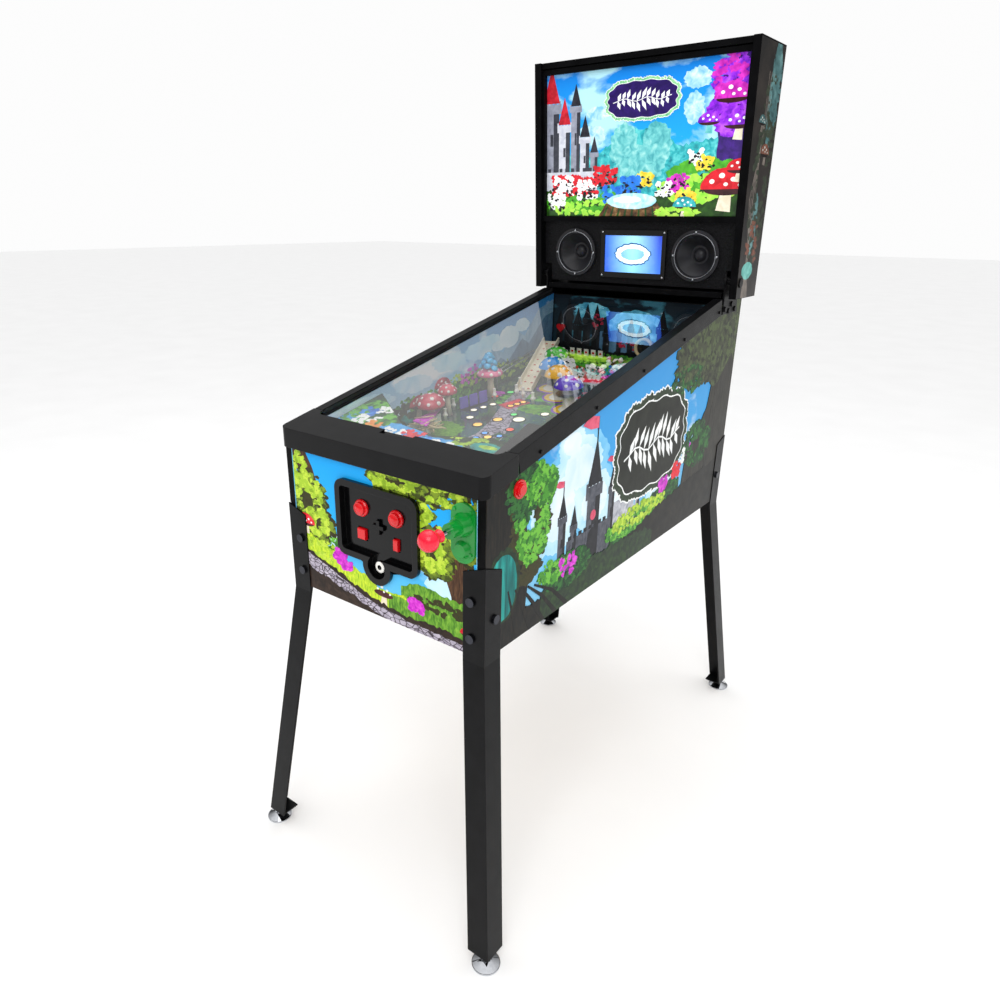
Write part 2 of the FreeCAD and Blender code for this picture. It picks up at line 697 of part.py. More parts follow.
def backbox_rear():
    half = size.wing_outer - size.wing
    upper = box(-half, "front_y + 950", 1135, 2 * half, 9, 418)
    lower = box(-224, "front_y + 950", 1083, 448, 9, 52)
    vents = [box(x, "front_y + 940", 1420, 60, 30, 8) for x in (-150, -30, 90)]
    return cut(join(upper, lower), *vents)


def face_frame():
    """Frame round the picture panel; y = 0 is the front edge of the wings."""
    half = size.wing_outer - size.wing
    ring = box(-half, 8, 156, 2 * half, 12, 325)
    opening = box(-half + 5, 0, 168, 2 * (half - 5), 40, 302)
    return on_face(cut(ring, opening))


def translite():
    half = size.wing_outer - size.wing
    return on_face(box(-half + 1, 20, 158, 2 * (half - 1), 4, 322))


def speaker_panel():
    half = size.wing_outer - size.wing
    upper = box(-half, 20, 56, 2 * half, 12, 100)
    lower = box(-224, 20, 16, 448, 12, 41)
    holes = [rod("y", side * size.speaker_x, 0, "speaker_up", "speaker_radius - 8", 60) for side in (1, -1)]
    window = box(-74, 0, 41, 148, 60, 86)
    return on_face(cut(join(upper, lower), window, *holes))


def speakers():
    """Two drivers: front ring with screws, cone, basket and magnet."""
    pieces = []
    for side in (1, -1):
        x = side * size.speaker_x
        ring = cut(rod("y", x, 14, "speaker_up", "speaker_radius", 6),
                   rod("y", x, 5, "speaker_up", "speaker_radius - 9", 30))
        basket = cut(cone("y", x, 20, "speaker_up", "speaker_radius - 8.1", 24, 26),
                     cone("y", x, 17.5, "speaker_up", "speaker_radius - 9.1", 20, 26))
        magnet = rod("y", x, 44, "speaker_up", 30, 14)
        dome = common(ball(x, 48, "speaker_up", 16), rod("y", x, 25, "speaker_up", 20, 25))
        screws = [rod("y", x + dx, 12.5, f"speaker_up + {dz}", 2.6, 3)
                  for dx, dz in ((50.5, 0), (-50.5, 0), (0, 50.5), (0, -50.5))]
        pieces.append(join(ring, basket, magnet, dome, *screws))
    return on_face(group(*pieces))


def display():
    """Small screen module with a bevelled bezel and four corner screws."""
    bezel = box(-83, 15, 30, 166, 5, 108)
    window = box(-73, 5, 42, 146, 30, 84)
    case = box(-73.9, 20, 41.1, 147.8, 22, 85.8)
    glass = box(-73, 17.5, 42, 146, 4, 84)
    screws = [rod("y", x, 13.8, z, 2.4, 3) for x in (-78, 78) for z in (35, 133)]
    return on_face(join(cut(bezel, window), case, glass, *screws))


def hinge_plates():
    """Steel plates bolted to the cabinet sides; the backbox turns on their pins."""
    pieces = []
    for side in (1, -1):
        x = 228 if side > 0 else -232
        foot = slab(x, [(860, 1036), (941, 1036), (941, 1062), (880, 1112), (860, 1112)], 4)
        head = rod("x", x, "front_y + pivot_y", "pivot_z", 12, 4)
        pin = rod("x", 228 if side > 0 else -262, "front_y + pivot_y", "pivot_z", "pin_radius", 34)
        cap = rod("x", 259.2 if side > 0 else -262.2, "front_y + pivot_y", "pivot_z", 10, 3)
        bolts = [join(rod("x", side * 233.5 - 1.5, f"front_y + {y}", z, 6, 3),
                      rod("x", side * 224.5 - 7.5, f"front_y + {y}", z, "bolt_radius - 1", 15))
                 for y, z in HINGE_BOLTS]
        pieces.append(join(foot, head, pin, cap, *bolts))
    return group(*pieces)


def electronics():
    """Power supply and main board on the cabinet floor."""
    supply = box(-180, "front_y + 640", 584, 110, 160, 60)
    board = box(20, "front_y + 600", 590, 150, 200, 2)
    posts = [rod("z", x, f"front_y + {y}", 584, 3, 6) for x in (28, 162) for y in (608, 792)]
    chips = [box(x, "front_y + 680", 592, 40, 40, 6) for x in (50, 110)]
    return group(supply, join(board, *posts, *chips))


def build_parts():
    for side, word in ((1, "right"), (-1, "left")):
        part(f"cabinet_{word}_side", cabinet_side(side))
        part(f"side_rail_{word}", side_rail(side))
        part(f"flipper_button_{word}", flipper_button(side))
        part(f"flipper_{word}", flipper(side))
        part(f"backbox_{word}_side", backbox_side(side))
        part(f"leveler_front_{word}", leveler(side, False))
        part(f"leveler_rear_{word}", leveler(side, True))
    legs()
    single = [cabinet_front, cabinet_rear, cabinet_floor, leg_bolts, glass_channel, playfield_glass,
              lockbar, control_tray, button_bezels, menu_pad, plunger_housing, plunger_rod,
              plunger_knob, plunger_spring, playfield, apron, backboard, lane_guides, ramp,
              game_ball, backbox_top, backbox_floor, backbox_rear, face_frame, translite,
              speaker_panel, speakers, display, hinge_plates, electronics]
    for make in single:
        part(make.__name__, make())
    part("pop_bumper_bodies", bumper_bodies())
    part("pop_bumper_caps", bumper_caps())
    part("start_button", panel_button("-button_x"))
    part("action_button", panel_button("button_x"))
    part("power_rocker", rocker(-41, 18, 20))
    part("volume_rocker", rocker(40, 10, 21))
    for number, (x, y) in enumerate(TARGETS, start=1):
        part(f"drop_target_{number}", drop_target(x, y))
    for number, (x, y) in enumerate(BUMPERS, start=1):
        part(f"bumper_ring_{number}", bumper_ring(x, y))


def write_parts():
    doc.recompute()
    for obj in doc.Objects:
        if "Invalid" in obj.State or "Error" in obj.State:
            raise RuntimeError(f"{obj.Name} ({obj.TypeId}) did not compute: {obj.State}")
    for obj in parts:
        if obj.Shape.isNull() or not obj.Shape.isValid() or not obj.Shape.Solids:
            raise RuntimeError(f"{obj.Label} has no sound shape")
    os.makedirs("parts", exist_ok=True)
    for obj in parts:
        obj.Shape.exportStep(f"parts/{obj.Label}.step")
        print(obj.Label, len(obj.Shape.Solids), round(obj.Shape.Volume / 1000, 1), "cm3")
    print(len(parts), "parts")


build_parts()
write_parts()
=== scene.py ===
import bpy
import bmesh
import json
import math
import random
from mathutils import Matrix, Vector
from mathutils.geometry import delaunay_2d_cdt


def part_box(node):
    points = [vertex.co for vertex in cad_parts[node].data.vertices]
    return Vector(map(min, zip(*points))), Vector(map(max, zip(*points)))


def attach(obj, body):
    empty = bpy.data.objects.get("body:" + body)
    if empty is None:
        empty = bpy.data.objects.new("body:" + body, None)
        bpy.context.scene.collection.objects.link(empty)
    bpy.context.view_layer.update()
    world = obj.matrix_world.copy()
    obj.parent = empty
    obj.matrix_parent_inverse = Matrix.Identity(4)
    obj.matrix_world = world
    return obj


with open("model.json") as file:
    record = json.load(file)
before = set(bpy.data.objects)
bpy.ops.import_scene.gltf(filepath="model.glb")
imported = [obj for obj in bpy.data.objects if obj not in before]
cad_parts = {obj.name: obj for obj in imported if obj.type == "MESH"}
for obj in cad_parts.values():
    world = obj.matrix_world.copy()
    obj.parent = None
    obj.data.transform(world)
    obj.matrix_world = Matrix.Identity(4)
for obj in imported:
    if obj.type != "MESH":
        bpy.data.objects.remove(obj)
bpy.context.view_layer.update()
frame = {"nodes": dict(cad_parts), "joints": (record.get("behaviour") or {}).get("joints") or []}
NODES = frame["nodes"]

# ---- places taken from the frame ------------------------------------------------------------

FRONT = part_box("cabinet_front")[0][1]
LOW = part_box("cabinet_front")[0][2]
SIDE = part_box("cabinet_right_side")[1][0]
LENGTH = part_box("cabinet_right_side")[1][1] - FRONT
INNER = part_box("cabinet_front")[1][0]
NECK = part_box("cabinet_right_side")[1][2] - LOW
BAR_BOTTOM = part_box("lockbar")[0][2] - LOW
JOINTS = {joint["name"]: joint for joint in frame["joints"]}
RAIL_TILT = math.atan2(-JOINTS["lockbar_lift"]["axis"][1], JOINTS["lockbar_lift"]["axis"][2])
PLAY_TILT = math.atan2(JOINTS["ball_launch"]["axis"][2], JOINTS["ball_launch"]["axis"][1])
CABINET = "cabinet"
BACKBOX = "backbox"


def sloped(angle):
    """Directions up a sheet that rises to the rear at an angle, and out of it."""
    return Vector((0, math.cos(angle), math.sin(angle))), Vector((0, -math.sin(angle), math.cos(angle)))


# The side rails and the playfield each rise from the cabinet's front at their own height.
RAIL_HEIGHT = 0.8835
RAIL_UP, RAIL_OUT = sloped(RAIL_TILT)
RAIL_START = Vector((0, FRONT, RAIL_HEIGHT))
PLAY_HEIGHT = 0.780
PLAY_UP, PLAY_OUT = sloped(PLAY_TILT)
PLAY_START = Vector((0, FRONT, PLAY_HEIGHT))
BACK_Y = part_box("backboard")[0][1] - FRONT

# The backbox face leans back about the foot of its front.
FACE_BACK, FACE_UP = sloped(math.radians(4.4))
FACE_ORIGIN = Vector((0, FRONT + 0.8535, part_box("backbox_floor")[0][2]))
SPEAKER_HEIGHT = 0.085

UPRIGHT = Vector((0, 0, 1))
FORWARD = Vector((0, -1, 0))


def rgb(code):
    """Linear colour from an sRGB hex code."""
    channels = [int(code[i:i + 2], 16) / 255 for i in (0, 2, 4)]
    linear = [c / 12.92 if c <= 0.04045 else ((c + 0.055) / 1.055) ** 2.4 for c in channels]
    return (*linear, 1.0)


# ---- materials ------------------------------------------------------------------------------

class Shader:
    """A Principled material whose node chains are written as short calls."""

    def __init__(self, name):
        self.material = bpy.data.materials.new(name)
        self.material.use_nodes = True
        self.tree = self.material.node_tree
        self.surface = self.tree.nodes["Principled BSDF"]
        self.point = self.node("ShaderNodeTexCoord").outputs["Object"]

    def node(self, kind, **settings):
        """New node with the given settings."""
        made = self.tree.nodes.new(kind)
        for key, value in settings.items():
            setattr(made, key, value)
        return made

    def link(self, source, target):
        """Feed an input from a socket, or set it to a plain value."""
        if hasattr(source, "links"):
            self.tree.links.new(source, target)
        else:
            target.default_value = source

    def stretched(self, scale):
        """Object coordinates scaled by their own factor on each axis."""
        mapping = self.node("ShaderNodeMapping")
        mapping.inputs["Scale"].default_value = scale
        self.link(self.point, mapping.inputs["Vector"])
        return mapping.outputs["Vector"]

    def noise(self, scale, detail=4, vector=None, distortion=0.0):
        """Soft random tone."""
        made = self.node("ShaderNodeTexNoise")
        made.inputs["Scale"].default_value = scale
        made.inputs["Detail"].default_value = detail
        made.inputs["Distortion"].default_value = distortion
        self.link(vector or self.point, made.inputs["Vector"])
        return made.outputs["Fac"]

    def cells(self, scale, feature="F1", output="Distance", vector=None, warp=0.0):
        """Cell pattern, with wandering borders when it has a warp."""
        made = self.node("ShaderNodeTexVoronoi", feature=feature)
        made.inputs["Scale"].default_value = scale
        start = vector or self.point
        if warp:
            bend = self.node("ShaderNodeTexNoise")
            bend.inputs["Scale"].default_value = scale * 0.8
            moved = self.node("ShaderNodeVectorMath", operation="MULTIPLY_ADD")
            self.link(bend.outputs["Color"], moved.inputs[0])
            moved.inputs[1].default_value = (warp, warp, warp)
            self.link(start, moved.inputs[2])
            start = moved.outputs[0]
        self.link(start, made.inputs["Vector"])
        return made.outputs[output]

    def height(self, low, high, letter="Z"):
        """Share of the way from low to high along an axis."""
        split = self.node("ShaderNodeSeparateXYZ")
        self.link(self.point, split.inputs[0])
        scaled = self.node("ShaderNodeMapRange")
        scaled.inputs["From Min"].default_value = low
        scaled.inputs["From Max"].default_value = high
        self.link(split.outputs[letter], scaled.inputs["Value"])
        return scaled.outputs[0]

    def ramp(self, factor, stops, hard=False):
        """Colours from (position, code) stops, blended or with hard borders."""
        made = self.node("ShaderNodeValToRGB")
        made.color_ramp.interpolation = "CONSTANT" if hard else "LINEAR"
        while len(made.color_ramp.elements) < len(stops):
            made.color_ramp.elements.new(0.5)
        for element, (position, code) in zip(made.color_ramp.elements, stops):
            element.position = position
            element.color = rgb(code)
        self.link(factor, made.inputs["Fac"])
        return made.outputs["Color"]

    def mix(self, factor, first, second):
        """Blend of two colours."""
        made = self.node("ShaderNodeMix", data_type="RGBA")
        self.link(factor, made.inputs[0])
        self.link(first, made.inputs[6])
        self.link(second, made.inputs[7])
        return made.outputs[2]

    def done(self, colour, rough=0.4, metal=0.0, coat=0.0, bump=None, bump_depth=0.1, round_edge=0.0,
             glow=0.0, shine=0.5):
        """Set the surface up and return the material."""
        self.surface.inputs["Specular IOR Level"].default_value = shine
        self.link(colour, self.surface.inputs["Base Color"])
        self.link(rough, self.surface.inputs["Roughness"])
        self.surface.inputs["Metallic"].default_value = metal
        self.surface.inputs["Coat Weight"].default_value = coat
        self.surface.inputs["Coat Roughness"].default_value = 0.08
        if glow:
            self.link(colour, self.surface.inputs["Emission Color"])
            self.surface.inputs["Emission Strength"].default_value = glow
        normal = None
        if round_edge:
            bevel = self.node("ShaderNodeBevel", samples=4)
            bevel.inputs["Radius"].default_value = round_edge
            normal = bevel.outputs[0]
        if bump is not None:
            lift = self.node("ShaderNodeBump")
            lift.inputs["Strength"].default_value = bump_depth
            lift.inputs["Distance"].default_value = 0.001
            self.link(bump, lift.inputs["Height"])
            if normal is not None:
                self.link(normal, lift.inputs["Normal"])
            normal = lift.outputs[0]
        if normal is not None:
            self.link(normal, self.surface.inputs["Normal"])
        return self.material

    def uneven(self, low, high):
        """Roughness that drifts between two values."""
        scaled = self.node("ShaderNodeMapRange")
        scaled.inputs["To Min"].default_value = low
        scaled.inputs["To Max"].default_value = high
        self.link(self.noise(35, 3), scaled.inputs["Value"])
        return scaled.outputs[0]

    def printed(self, colour, coat=0.0, glow=0.0):
        """Finish of all the printed artwork: satin vinyl with a very fine grain."""
        return self.done(colour, self.uneven(0.3, 0.42), coat=coat, bump=self.noise(900, 2),
                         bump_depth=0.03, glow=glow, shine=0.16)


def painted(name, codes, scale=60, stretch=(1, 1, 1), glow=0.0, coat=0.0):
    """Printed artwork in a few brush tones."""
    s = Shader(name)
    tone = s.noise(scale, 5, s.stretched(stretch), 0.6)
    first, last = 0.3, 0.7
    step = (last - first) / (len(codes) - 1)
    colour = s.ramp(tone, [(first + i * step, code) for i, code in enumerate(codes)])
    return s.printed(colour, coat, glow)


def leafy(name, codes, scale):
    """Foliage in flat leaf-shaped dabs."""
    s = Shader(name)
    split = s.node("ShaderNodeSeparateColor")
    s.link(s.cells(scale, output="Color", warp=0.012), split.inputs[0])
    blend = s.node("ShaderNodeMath", operation="MULTIPLY_ADD")
    s.link(s.noise(18, 3), blend.inputs[0])
    blend.inputs[1].default_value = 1.1
    s.link(split.outputs[0], blend.inputs[2])
    half = s.node("ShaderNodeMath", operation="MULTIPLY")
    s.link(blend.outputs[0], half.inputs[0])
    half.inputs[1].default_value = 0.5
    stops = [(0.18 + 0.6 * i / len(codes), code) for i, code in enumerate(codes)]
    colour = s.ramp(half.outputs[0], stops, True)
    return s.printed(colour)


def sky(name, low, high, codes, cloud="e8f4fb", cover=0.56, scale=5.0, glow=0.0):
    """Sky that changes with height, crossed by soft clouds."""
    s = Shader(name)
    base = s.ramp(s.height(low, high), [(i / (len(codes) - 1), code) for i, code in enumerate(codes)])
    puffs = s.ramp(s.noise(scale, 6, s.stretched((1, 1, 1.8)), 0.3),
                   [(cover, "000000"), (cover + 0.09, "ffffff")])
    return s.printed(s.mix(puffs, base, rgb(cloud)), glow=glow)


def cobbles(name, stretch=(1, 1, 1.9)):
    """Rounded paving stones with dark joints."""
    s = Shader(name)
    edge = s.cells(75, feature="DISTANCE_TO_EDGE", vector=s.stretched(stretch))
    stones = s.ramp(s.noise(50, 3), [(0.3, "8f8798"), (0.7, "c9c1cf")])
    colour = s.mix(s.ramp(edge, [(0.03, "000000"), (0.1, "ffffff")]), rgb("3a3038"), stones)
    return s.printed(colour)


def powder_coat(name, codes=("050506", "0c0c0e"), rough=0.3, grain=0.2, shine=0.13):
    """Black satin finish with a fine orange-peel grain."""
    s = Shader(name)
    colour = s.ramp(s.noise(40, 4), [(0.35, codes[0]), (0.65, codes[1])])
    return s.done(colour, s.uneven(rough - 0.06, rough + 0.1), bump=s.noise(700, 3), bump_depth=grain,
                  round_edge=0.0014, shine=shine)


def moulded(name, codes, rough=0.2, coat=0.3, shine=0.4):
    """Injection-moulded plastic with faint flow marks."""
    s = Shader(name)
    colour = s.ramp(s.noise(30, 3), [(0.3, codes[0]), (0.7, codes[1])])
    s.surface.inputs["Subsurface Weight"].default_value = 0.03
    return s.done(colour, s.uneven(rough - 0.03, rough + 0.05), coat=coat, bump=s.noise(350, 2),
                  bump_depth=0.04, round_edge=0.0008, shine=shine)


def pebbled(name):
    """Black board with a coarse leather-like grain."""
    s = Shader(name)
    grain = s.cells(420, feature="SMOOTH_F1")
    colour = s.ramp(grain, [(0.1, "1b1b1e"), (0.6, "0a0a0b")])
    return s.done(colour, 0.5, bump=grain, bump_depth=0.9, round_edge=0.0008, shine=0.12)


def metal(name, codes, rough, brushed=0.0):
    """Bare metal with faint upright streaks."""
    s = Shader(name)
    streak = s.noise(160, 3, s.stretched((1, 1, 0.05)))
    colour = s.mix(streak, rgb(codes[0]), rgb(codes[1]))
    return s.done(colour, s.uneven(rough * 0.8, rough * 1.3), metal=1.0, bump=streak,
                  bump_depth=0.02 + brushed, round_edge=0.0005)


def board(name, codes):
    """Plywood or fibreboard with long grain."""
    s = Shader(name)
    grain = s.noise(30, 6, s.stretched((6, 0.6, 6)), 1.0)
    colour = s.ramp(grain, [(0.3, codes[0]), (0.7, codes[1])])
    return s.done(colour, 0.6, bump=grain, bump_depth=0.15)


def clear_glass(name):
    """Thin clear sheet: see-through, with a reflection on its outer side that grows at low angles."""
    s = Shader(name)
    clear = s.node("ShaderNodeBsdfTransparent")
    mirror = s.node("ShaderNodeBsdfGlossy")
    s.link(s.ramp(s.noise(6, 3), [(0.3, "101010"), (0.8, "242424")]), mirror.inputs["Roughness"])
    facing = s.node("ShaderNodeLayerWeight")
    strength = s.node("ShaderNodeMapRange")
    strength.inputs["From Min"].default_value = 0.3
    strength.inputs["To Min"].default_value = 0.06
    strength.inputs["To Max"].default_value = 0.75
    s.link(facing.outputs["Facing"], strength.inputs["Value"])
    outside = s.node("ShaderNodeMath", operation="SUBTRACT")
    outside.inputs[0].default_value = 1.0
    s.link(s.node("ShaderNodeNewGeometry").outputs["Backfacing"], outside.inputs[1])
    factor = s.node("ShaderNodeMath", operation="MULTIPLY")
    s.link(strength.outputs[0], factor.inputs[0])
    s.link(outside.outputs[0], factor.inputs[1])
    blend = s.node("ShaderNodeMixShader")
    s.link(factor.outputs[0], blend.inputs[0])
    s.link(clear.outputs[0], blend.inputs[1])
    s.link(mirror.outputs[0], blend.inputs[2])
    s.link(blend.outputs[0], s.tree.nodes["Material Output"].inputs["Surface"])
    return s.material


def three_caps():
    """Purple, yellow and blue bumper caps, told apart by where they stand."""
    s = Shader("bumper_caps")
    split = s.node("ShaderNodeSeparateXYZ")
    s.link(s.point, split.inputs[0])
    across = s.node("ShaderNodeMath", operation="SUBTRACT")
    s.link(split.outputs[1], across.inputs[0])
    s.link(split.outputs[0], across.inputs[1])
    shifted = s.node("ShaderNodeMath", operation="ADD")
    s.link(across.outputs[0], shifted.inputs[0])
    shifted.inputs[1].default_value = 0.3
    colour = s.ramp(shifted.outputs[0], [(0.0, "5a30c8"), (0.399, "f6b81c"), (0.508, "2a94e4")], True)
    flow = s.mix(s.ramp(s.noise(30, 3), [(0.3, "000000"), (0.8, "303030")]), colour, rgb("ffffff"))
    return s.done(flow, s.uneven(0.08, 0.14), coat=0.9, bump=s.noise(300, 2), bump_depth=0.03)


M = {
    "coat": powder_coat("black_powder_coat"),
    "bar": powder_coat("black_lockbar_coat", ("040405", "09090b"), 0.20, 0.1, 0.17),
    "black_board": powder_coat("black_painted_board", ("050506", "0a0a0c"), 0.42, 0.3, 0.06),
    "gloss_black": moulded("gloss_black_plastic", ("030304", "070708"), 0.14, 0.0, 0.24),
    "soft_black": moulded("soft_black_rubber", ("0d0d0e", "161618"), 0.5, 0.0),
    "red": moulded("red_plastic", ("cc0610", "dd101a")),
    "knob": moulded("pink_red_plastic", ("e00c30", "f01c3c"), 0.25),
    "green": moulded("green_plastic", ("067c28", "0a9433"), 0.2),
    "white": moulded("white_plastic", ("ece8df", "f8f6f0"), 0.3),
    "violet": moulded("violet_plastic", ("5a46b8", "7a66d8"), 0.25),
    "lime": moulded("lime_plastic", ("38b030", "58c838"), 0.12, 0.9),
    "sky_blue": moulded("sky_blue_plastic", ("2aa8e0", "4cc0f0"), 0.15, 0.9),
    "pink": moulded("pink_plastic", ("e0708c", "f4a4b4"), 0.3, 0.4),
    "crimson": moulded("crimson_plastic", ("b01838", "d84860"), 0.2, 0.7),
    "rose": moulded("rose_plastic", ("d8487c", "f07ca4"), 0.2, 0.7),
    "cream": moulded("cream_plastic", ("d8ccb0", "f0e8d0"), 0.35, 0.3),
    "tan": moulded("tan_plastic", ("b09868", "d8c8a0"), 0.4, 0.2),
    "chrome": metal("chrome", ("d8dade", "b9bcc2"), 0.07),
    "steel": metal("zinc_steel", ("a8aab0", "b9bcc2"), 0.3, 0.06),
    "dark_steel": metal("dark_steel", ("2e2f34", "4c4d54"), 0.3, 0.04),
    "cone": moulded("speaker_cone", ("17171a", "232328"), 0.4, 0.0, 0.35),
    "pebble": pebbled("pebbled_black_board"),
    "raw_board": board("raw_board", ("a58a62", "c8ad82")),
    "circuit": painted("circuit_green", ("0c4a24", "14702f"), 200),
    "glass": clear_glass("clear_glass"),
    "caps": three_caps(),
}


def dress(material, *nodes):
    """Give frame parts one of the materials."""
    for name in nodes:
        mesh = NODES[name].data
        mesh.materials.clear()
        mesh.materials.append(M[material])


def dress_frame():
    """The finish of every part of the frame."""
    dress("coat", "leg_front_left", "leg_front_right", "leg_rear_left", "leg_rear_right",
          "side_rail_left", "side_rail_right", "hinge_plates")
    dress("bar", "lockbar")
    dress("black_board", "cabinet_left_side", "cabinet_right_side", "cabinet_front", "cabinet_rear",
          "backbox_left_side", "backbox_right_side", "backbox_top", "backbox_floor", "backbox_rear",
          "face_frame", "translite", "backboard", "playfield", "apron")
    dress("pebble", "speaker_panel")
    dress("gloss_black", "control_tray", "menu_pad", "display")
    dress("cone", "speakers")
    dress("soft_black", "glass_channel")
    dress("red", "start_button", "action_button", "power_rocker", "volume_rocker",
          "flipper_button_left", "flipper_button_right", "button_bezels")
    dress("knob", "plunger_knob")
    dress("green", "plunger_housing")
    dress("chrome", "plunger_rod", "game_ball", "leveler_front_left", "leveler_front_right",
          "leveler_rear_left", "leveler_rear_right")
    dress("steel", "plunger_spring", "bumper_ring_1", "bumper_ring_2", "bumper_ring_3")
    dress("dark_steel", "leg_bolts")
    dress("white", "flipper_left", "flipper_right", "pop_bumper_bodies", "lane_guides")
    dress("cream", "ramp")
    dress("violet", "drop_target_1", "drop_target_2", "drop_target_3")
    dress("caps", "pop_bumper_caps")
    dress("raw_board", "cabinet_floor")
    dress("circuit", "electronics")
    dress("glass", "playfield_glass")


# ---- outlines -------------------------------------------------------------------------------

def blob(cx, cy, rx, ry, rough=0.12, count=28, seed=1, start=0.0, end=math.tau):
    """Ragged ellipse, or a part of one when start and end are given."""
    rng = random.Random(seed)
    points = []
    for i in range(count):
        angle = start + (end - start) * i / (count if end - start >= math.tau else count - 1)
        radius = 1 + rough * (rng.random() * 2 - 1)
        points.append((cx + rx * radius * math.cos(angle), cy + ry * radius * math.sin(angle)))
    return points


def rect(u0, v0, u1, v1):
    """Upright rectangle from two opposite corners."""
    return [(u0, v0), (u1, v0), (u1, v1), (u0, v1)]


def under(line, floor=-1.0, jag=0.0, seed=1, step=0.006):
    """Everything below a polyline, with an optional ragged top."""
    rng = random.Random(seed)
    top = []
    for (u0, v0), (u1, v1) in zip(line, line[1:]):
        count = max(int(abs(u1 - u0) / step), 1) if jag else 1
        for i in range(count):
            t = i / count
            top.append((u0 + t * (u1 - u0), v0 + t * (v1 - v0) + jag * rng.uniform(-1, 1)))
    top.append(line[-1])
    return top + [(line[-1][0], floor), (line[0][0], floor)]


def stroke(path, widths):
    """Band along a path, with a width at each of its points."""
    left, right = [], []
    for i, (u, v) in enumerate(path):
        ahead = path[min(i + 1, len(path) - 1)]
        behind = path[max(i - 1, 0)]
        du, dv = ahead[0] - behind[0], ahead[1] - behind[1]
        size = math.hypot(du, dv) or 1
        off = widths[i] / 2
        left.append((u - dv / size * off, v + du / size * off))
        right.append((u + dv / size * off, v - du / size * off))
    return left + right[::-1]


def clipped(points, outline):
    """The part of a polygon inside a convex outline that runs counter-clockwise."""
    kept = points
    for (ax, ay), (bx, by) in zip(outline, outline[1:] + outline[:1]):
        source, kept = kept, []
        for i, now in enumerate(source):
            before = source[i - 1]
            now_in = (bx - ax) * (now[1] - ay) - (by - ay) * (now[0] - ax)
            was_in = (bx - ax) * (before[1] - ay) - (by - ay) * (before[0] - ax)
            if now_in * was_in < 0:
                t = was_in / (was_in - now_in)
                kept.append((before[0] + t * (now[0] - before[0]), before[1] + t * (now[1] - before[1])))
            if now_in >= 0:
                kept.append(now)
        if len(kept) < 3:
            return []
    return kept


def area(points):
    """Signed area, above zero when the points run counter-clockwise."""
    return sum(a[0] * b[1] - b[0] * a[1] for a, b in zip(points, points[1:] + points[:1])) / 2


class Canvas:
    """Printed panel: thin closed shapes stacked outwards from a face, one piece per colour."""

    STEP = 0.00002

    def __init__(self, name, origin, right, up, outline, body=CABINET, slot_name="art_print"):
        self.name = name
        self.origin = Vector(origin)
        self.right = Vector(right).normalized()
        self.up = Vector(up).normalized()
        self.out = self.right.cross(self.up)
        pieces = outline if isinstance(outline[0], list) else [outline]
        self.outlines = [piece if area(piece) > 0 else piece[::-1] for piece in pieces]
        self.body = body
        self.slot_name = slot_name
        self.shapes = {}
        self.layer = 1
        self.keep_out = None

    def add(self, key, *polygons):
        """One layer of a colour, over everything added before."""
        self.layer += 1
        for points in polygons:
            if self.keep_out and any(self.keep_out(u, v) for u, v in points):
                continue
            for outline in self.outlines:
                kept = clipped(points, outline)
                if len(kept) > 2 and abs(area(kept)) > 1e-8:
                    kept = kept if area(kept) > 0 else kept[::-1]
                    self.shapes.setdefault(key, {}).setdefault(self.layer, []).append(kept)

    def lift(self, u, v, w):
        """Point of space at a place on the panel and a height above it."""
        return self.origin + self.right * u + self.up * v + self.out * w

    def build(self, materials):
        """One piece for each colour that was added."""
        for key, layers in self.shapes.items():
            mesh = bmesh.new()
            for layer, polygons in layers.items():
                self.merge(mesh, polygons, layer * self.STEP)
            obj = mesh_object(f"{self.name}_{key}", mesh, materials[key])
            ride(obj, self.body)

    def merge(self, mesh, polygons, height):
        """Thin closed sheet over the union of the polygons."""
        points = [Vector(point) for polygon in polygons for point in polygon]
        corners = iter(range(len(points)))
        faces = [[next(corners) for _ in polygon] for polygon in polygons]
        spots, _, triangles, _, _, sources = delaunay_2d_cdt(points, [], faces, 0, 1e-6)
        triangles = [triangle for triangle, source in zip(triangles, sources) if source]
        used = {i for triangle in triangles for i in triangle}
        base = {i: mesh.verts.new(self.lift(*spots[i], -0.00005)) for i in used}
        top = {i: mesh.verts.new(self.lift(*spots[i], height)) for i in used}
        rim = set()
        for triangle in triangles:
            if area([tuple(spots[i]) for i in triangle]) < 0:
                triangle = triangle[::-1]
            mesh.faces.new([top[i] for i in triangle])
            mesh.faces.new([base[i] for i in triangle[::-1]])
            for i, j in zip(triangle, triangle[1:] + triangle[:1]):
                if (j, i) in rim:
                    rim.remove((j, i))
                else:
                    rim.add((i, j))
        for i, j in sorted(rim):
            mesh.faces.new((base[i], base[j], top[j], top[i]))


class Mirrored:
    """Draws on a canvas with left and right swapped."""

    def __init__(self, canvas):
        self.canvas = canvas

    def add(self, key, *polygons):
        self.canvas.add(key, *[[(-u, v) for u, v in points][::-1] for points in polygons])


def flank(name, place, facing, sheets, body=CABINET):
    """Canvas in an upright fore-and-aft plane that faces right (1) or left (-1), and a pen for it.

    Outlines and strokes are given from front to rear on both sides."""
    if facing > 0:
        canvas = Canvas(name, place, (0, 1, 0), UPRIGHT, sheets, body)
        return canvas, canvas
    mirrored = [[(-u, v) for u, v in sheet] for sheet in sheets]
    canvas = Canvas(name, place, FORWARD, UPRIGHT, mirrored, body)
    return canvas, Mirrored(canvas)


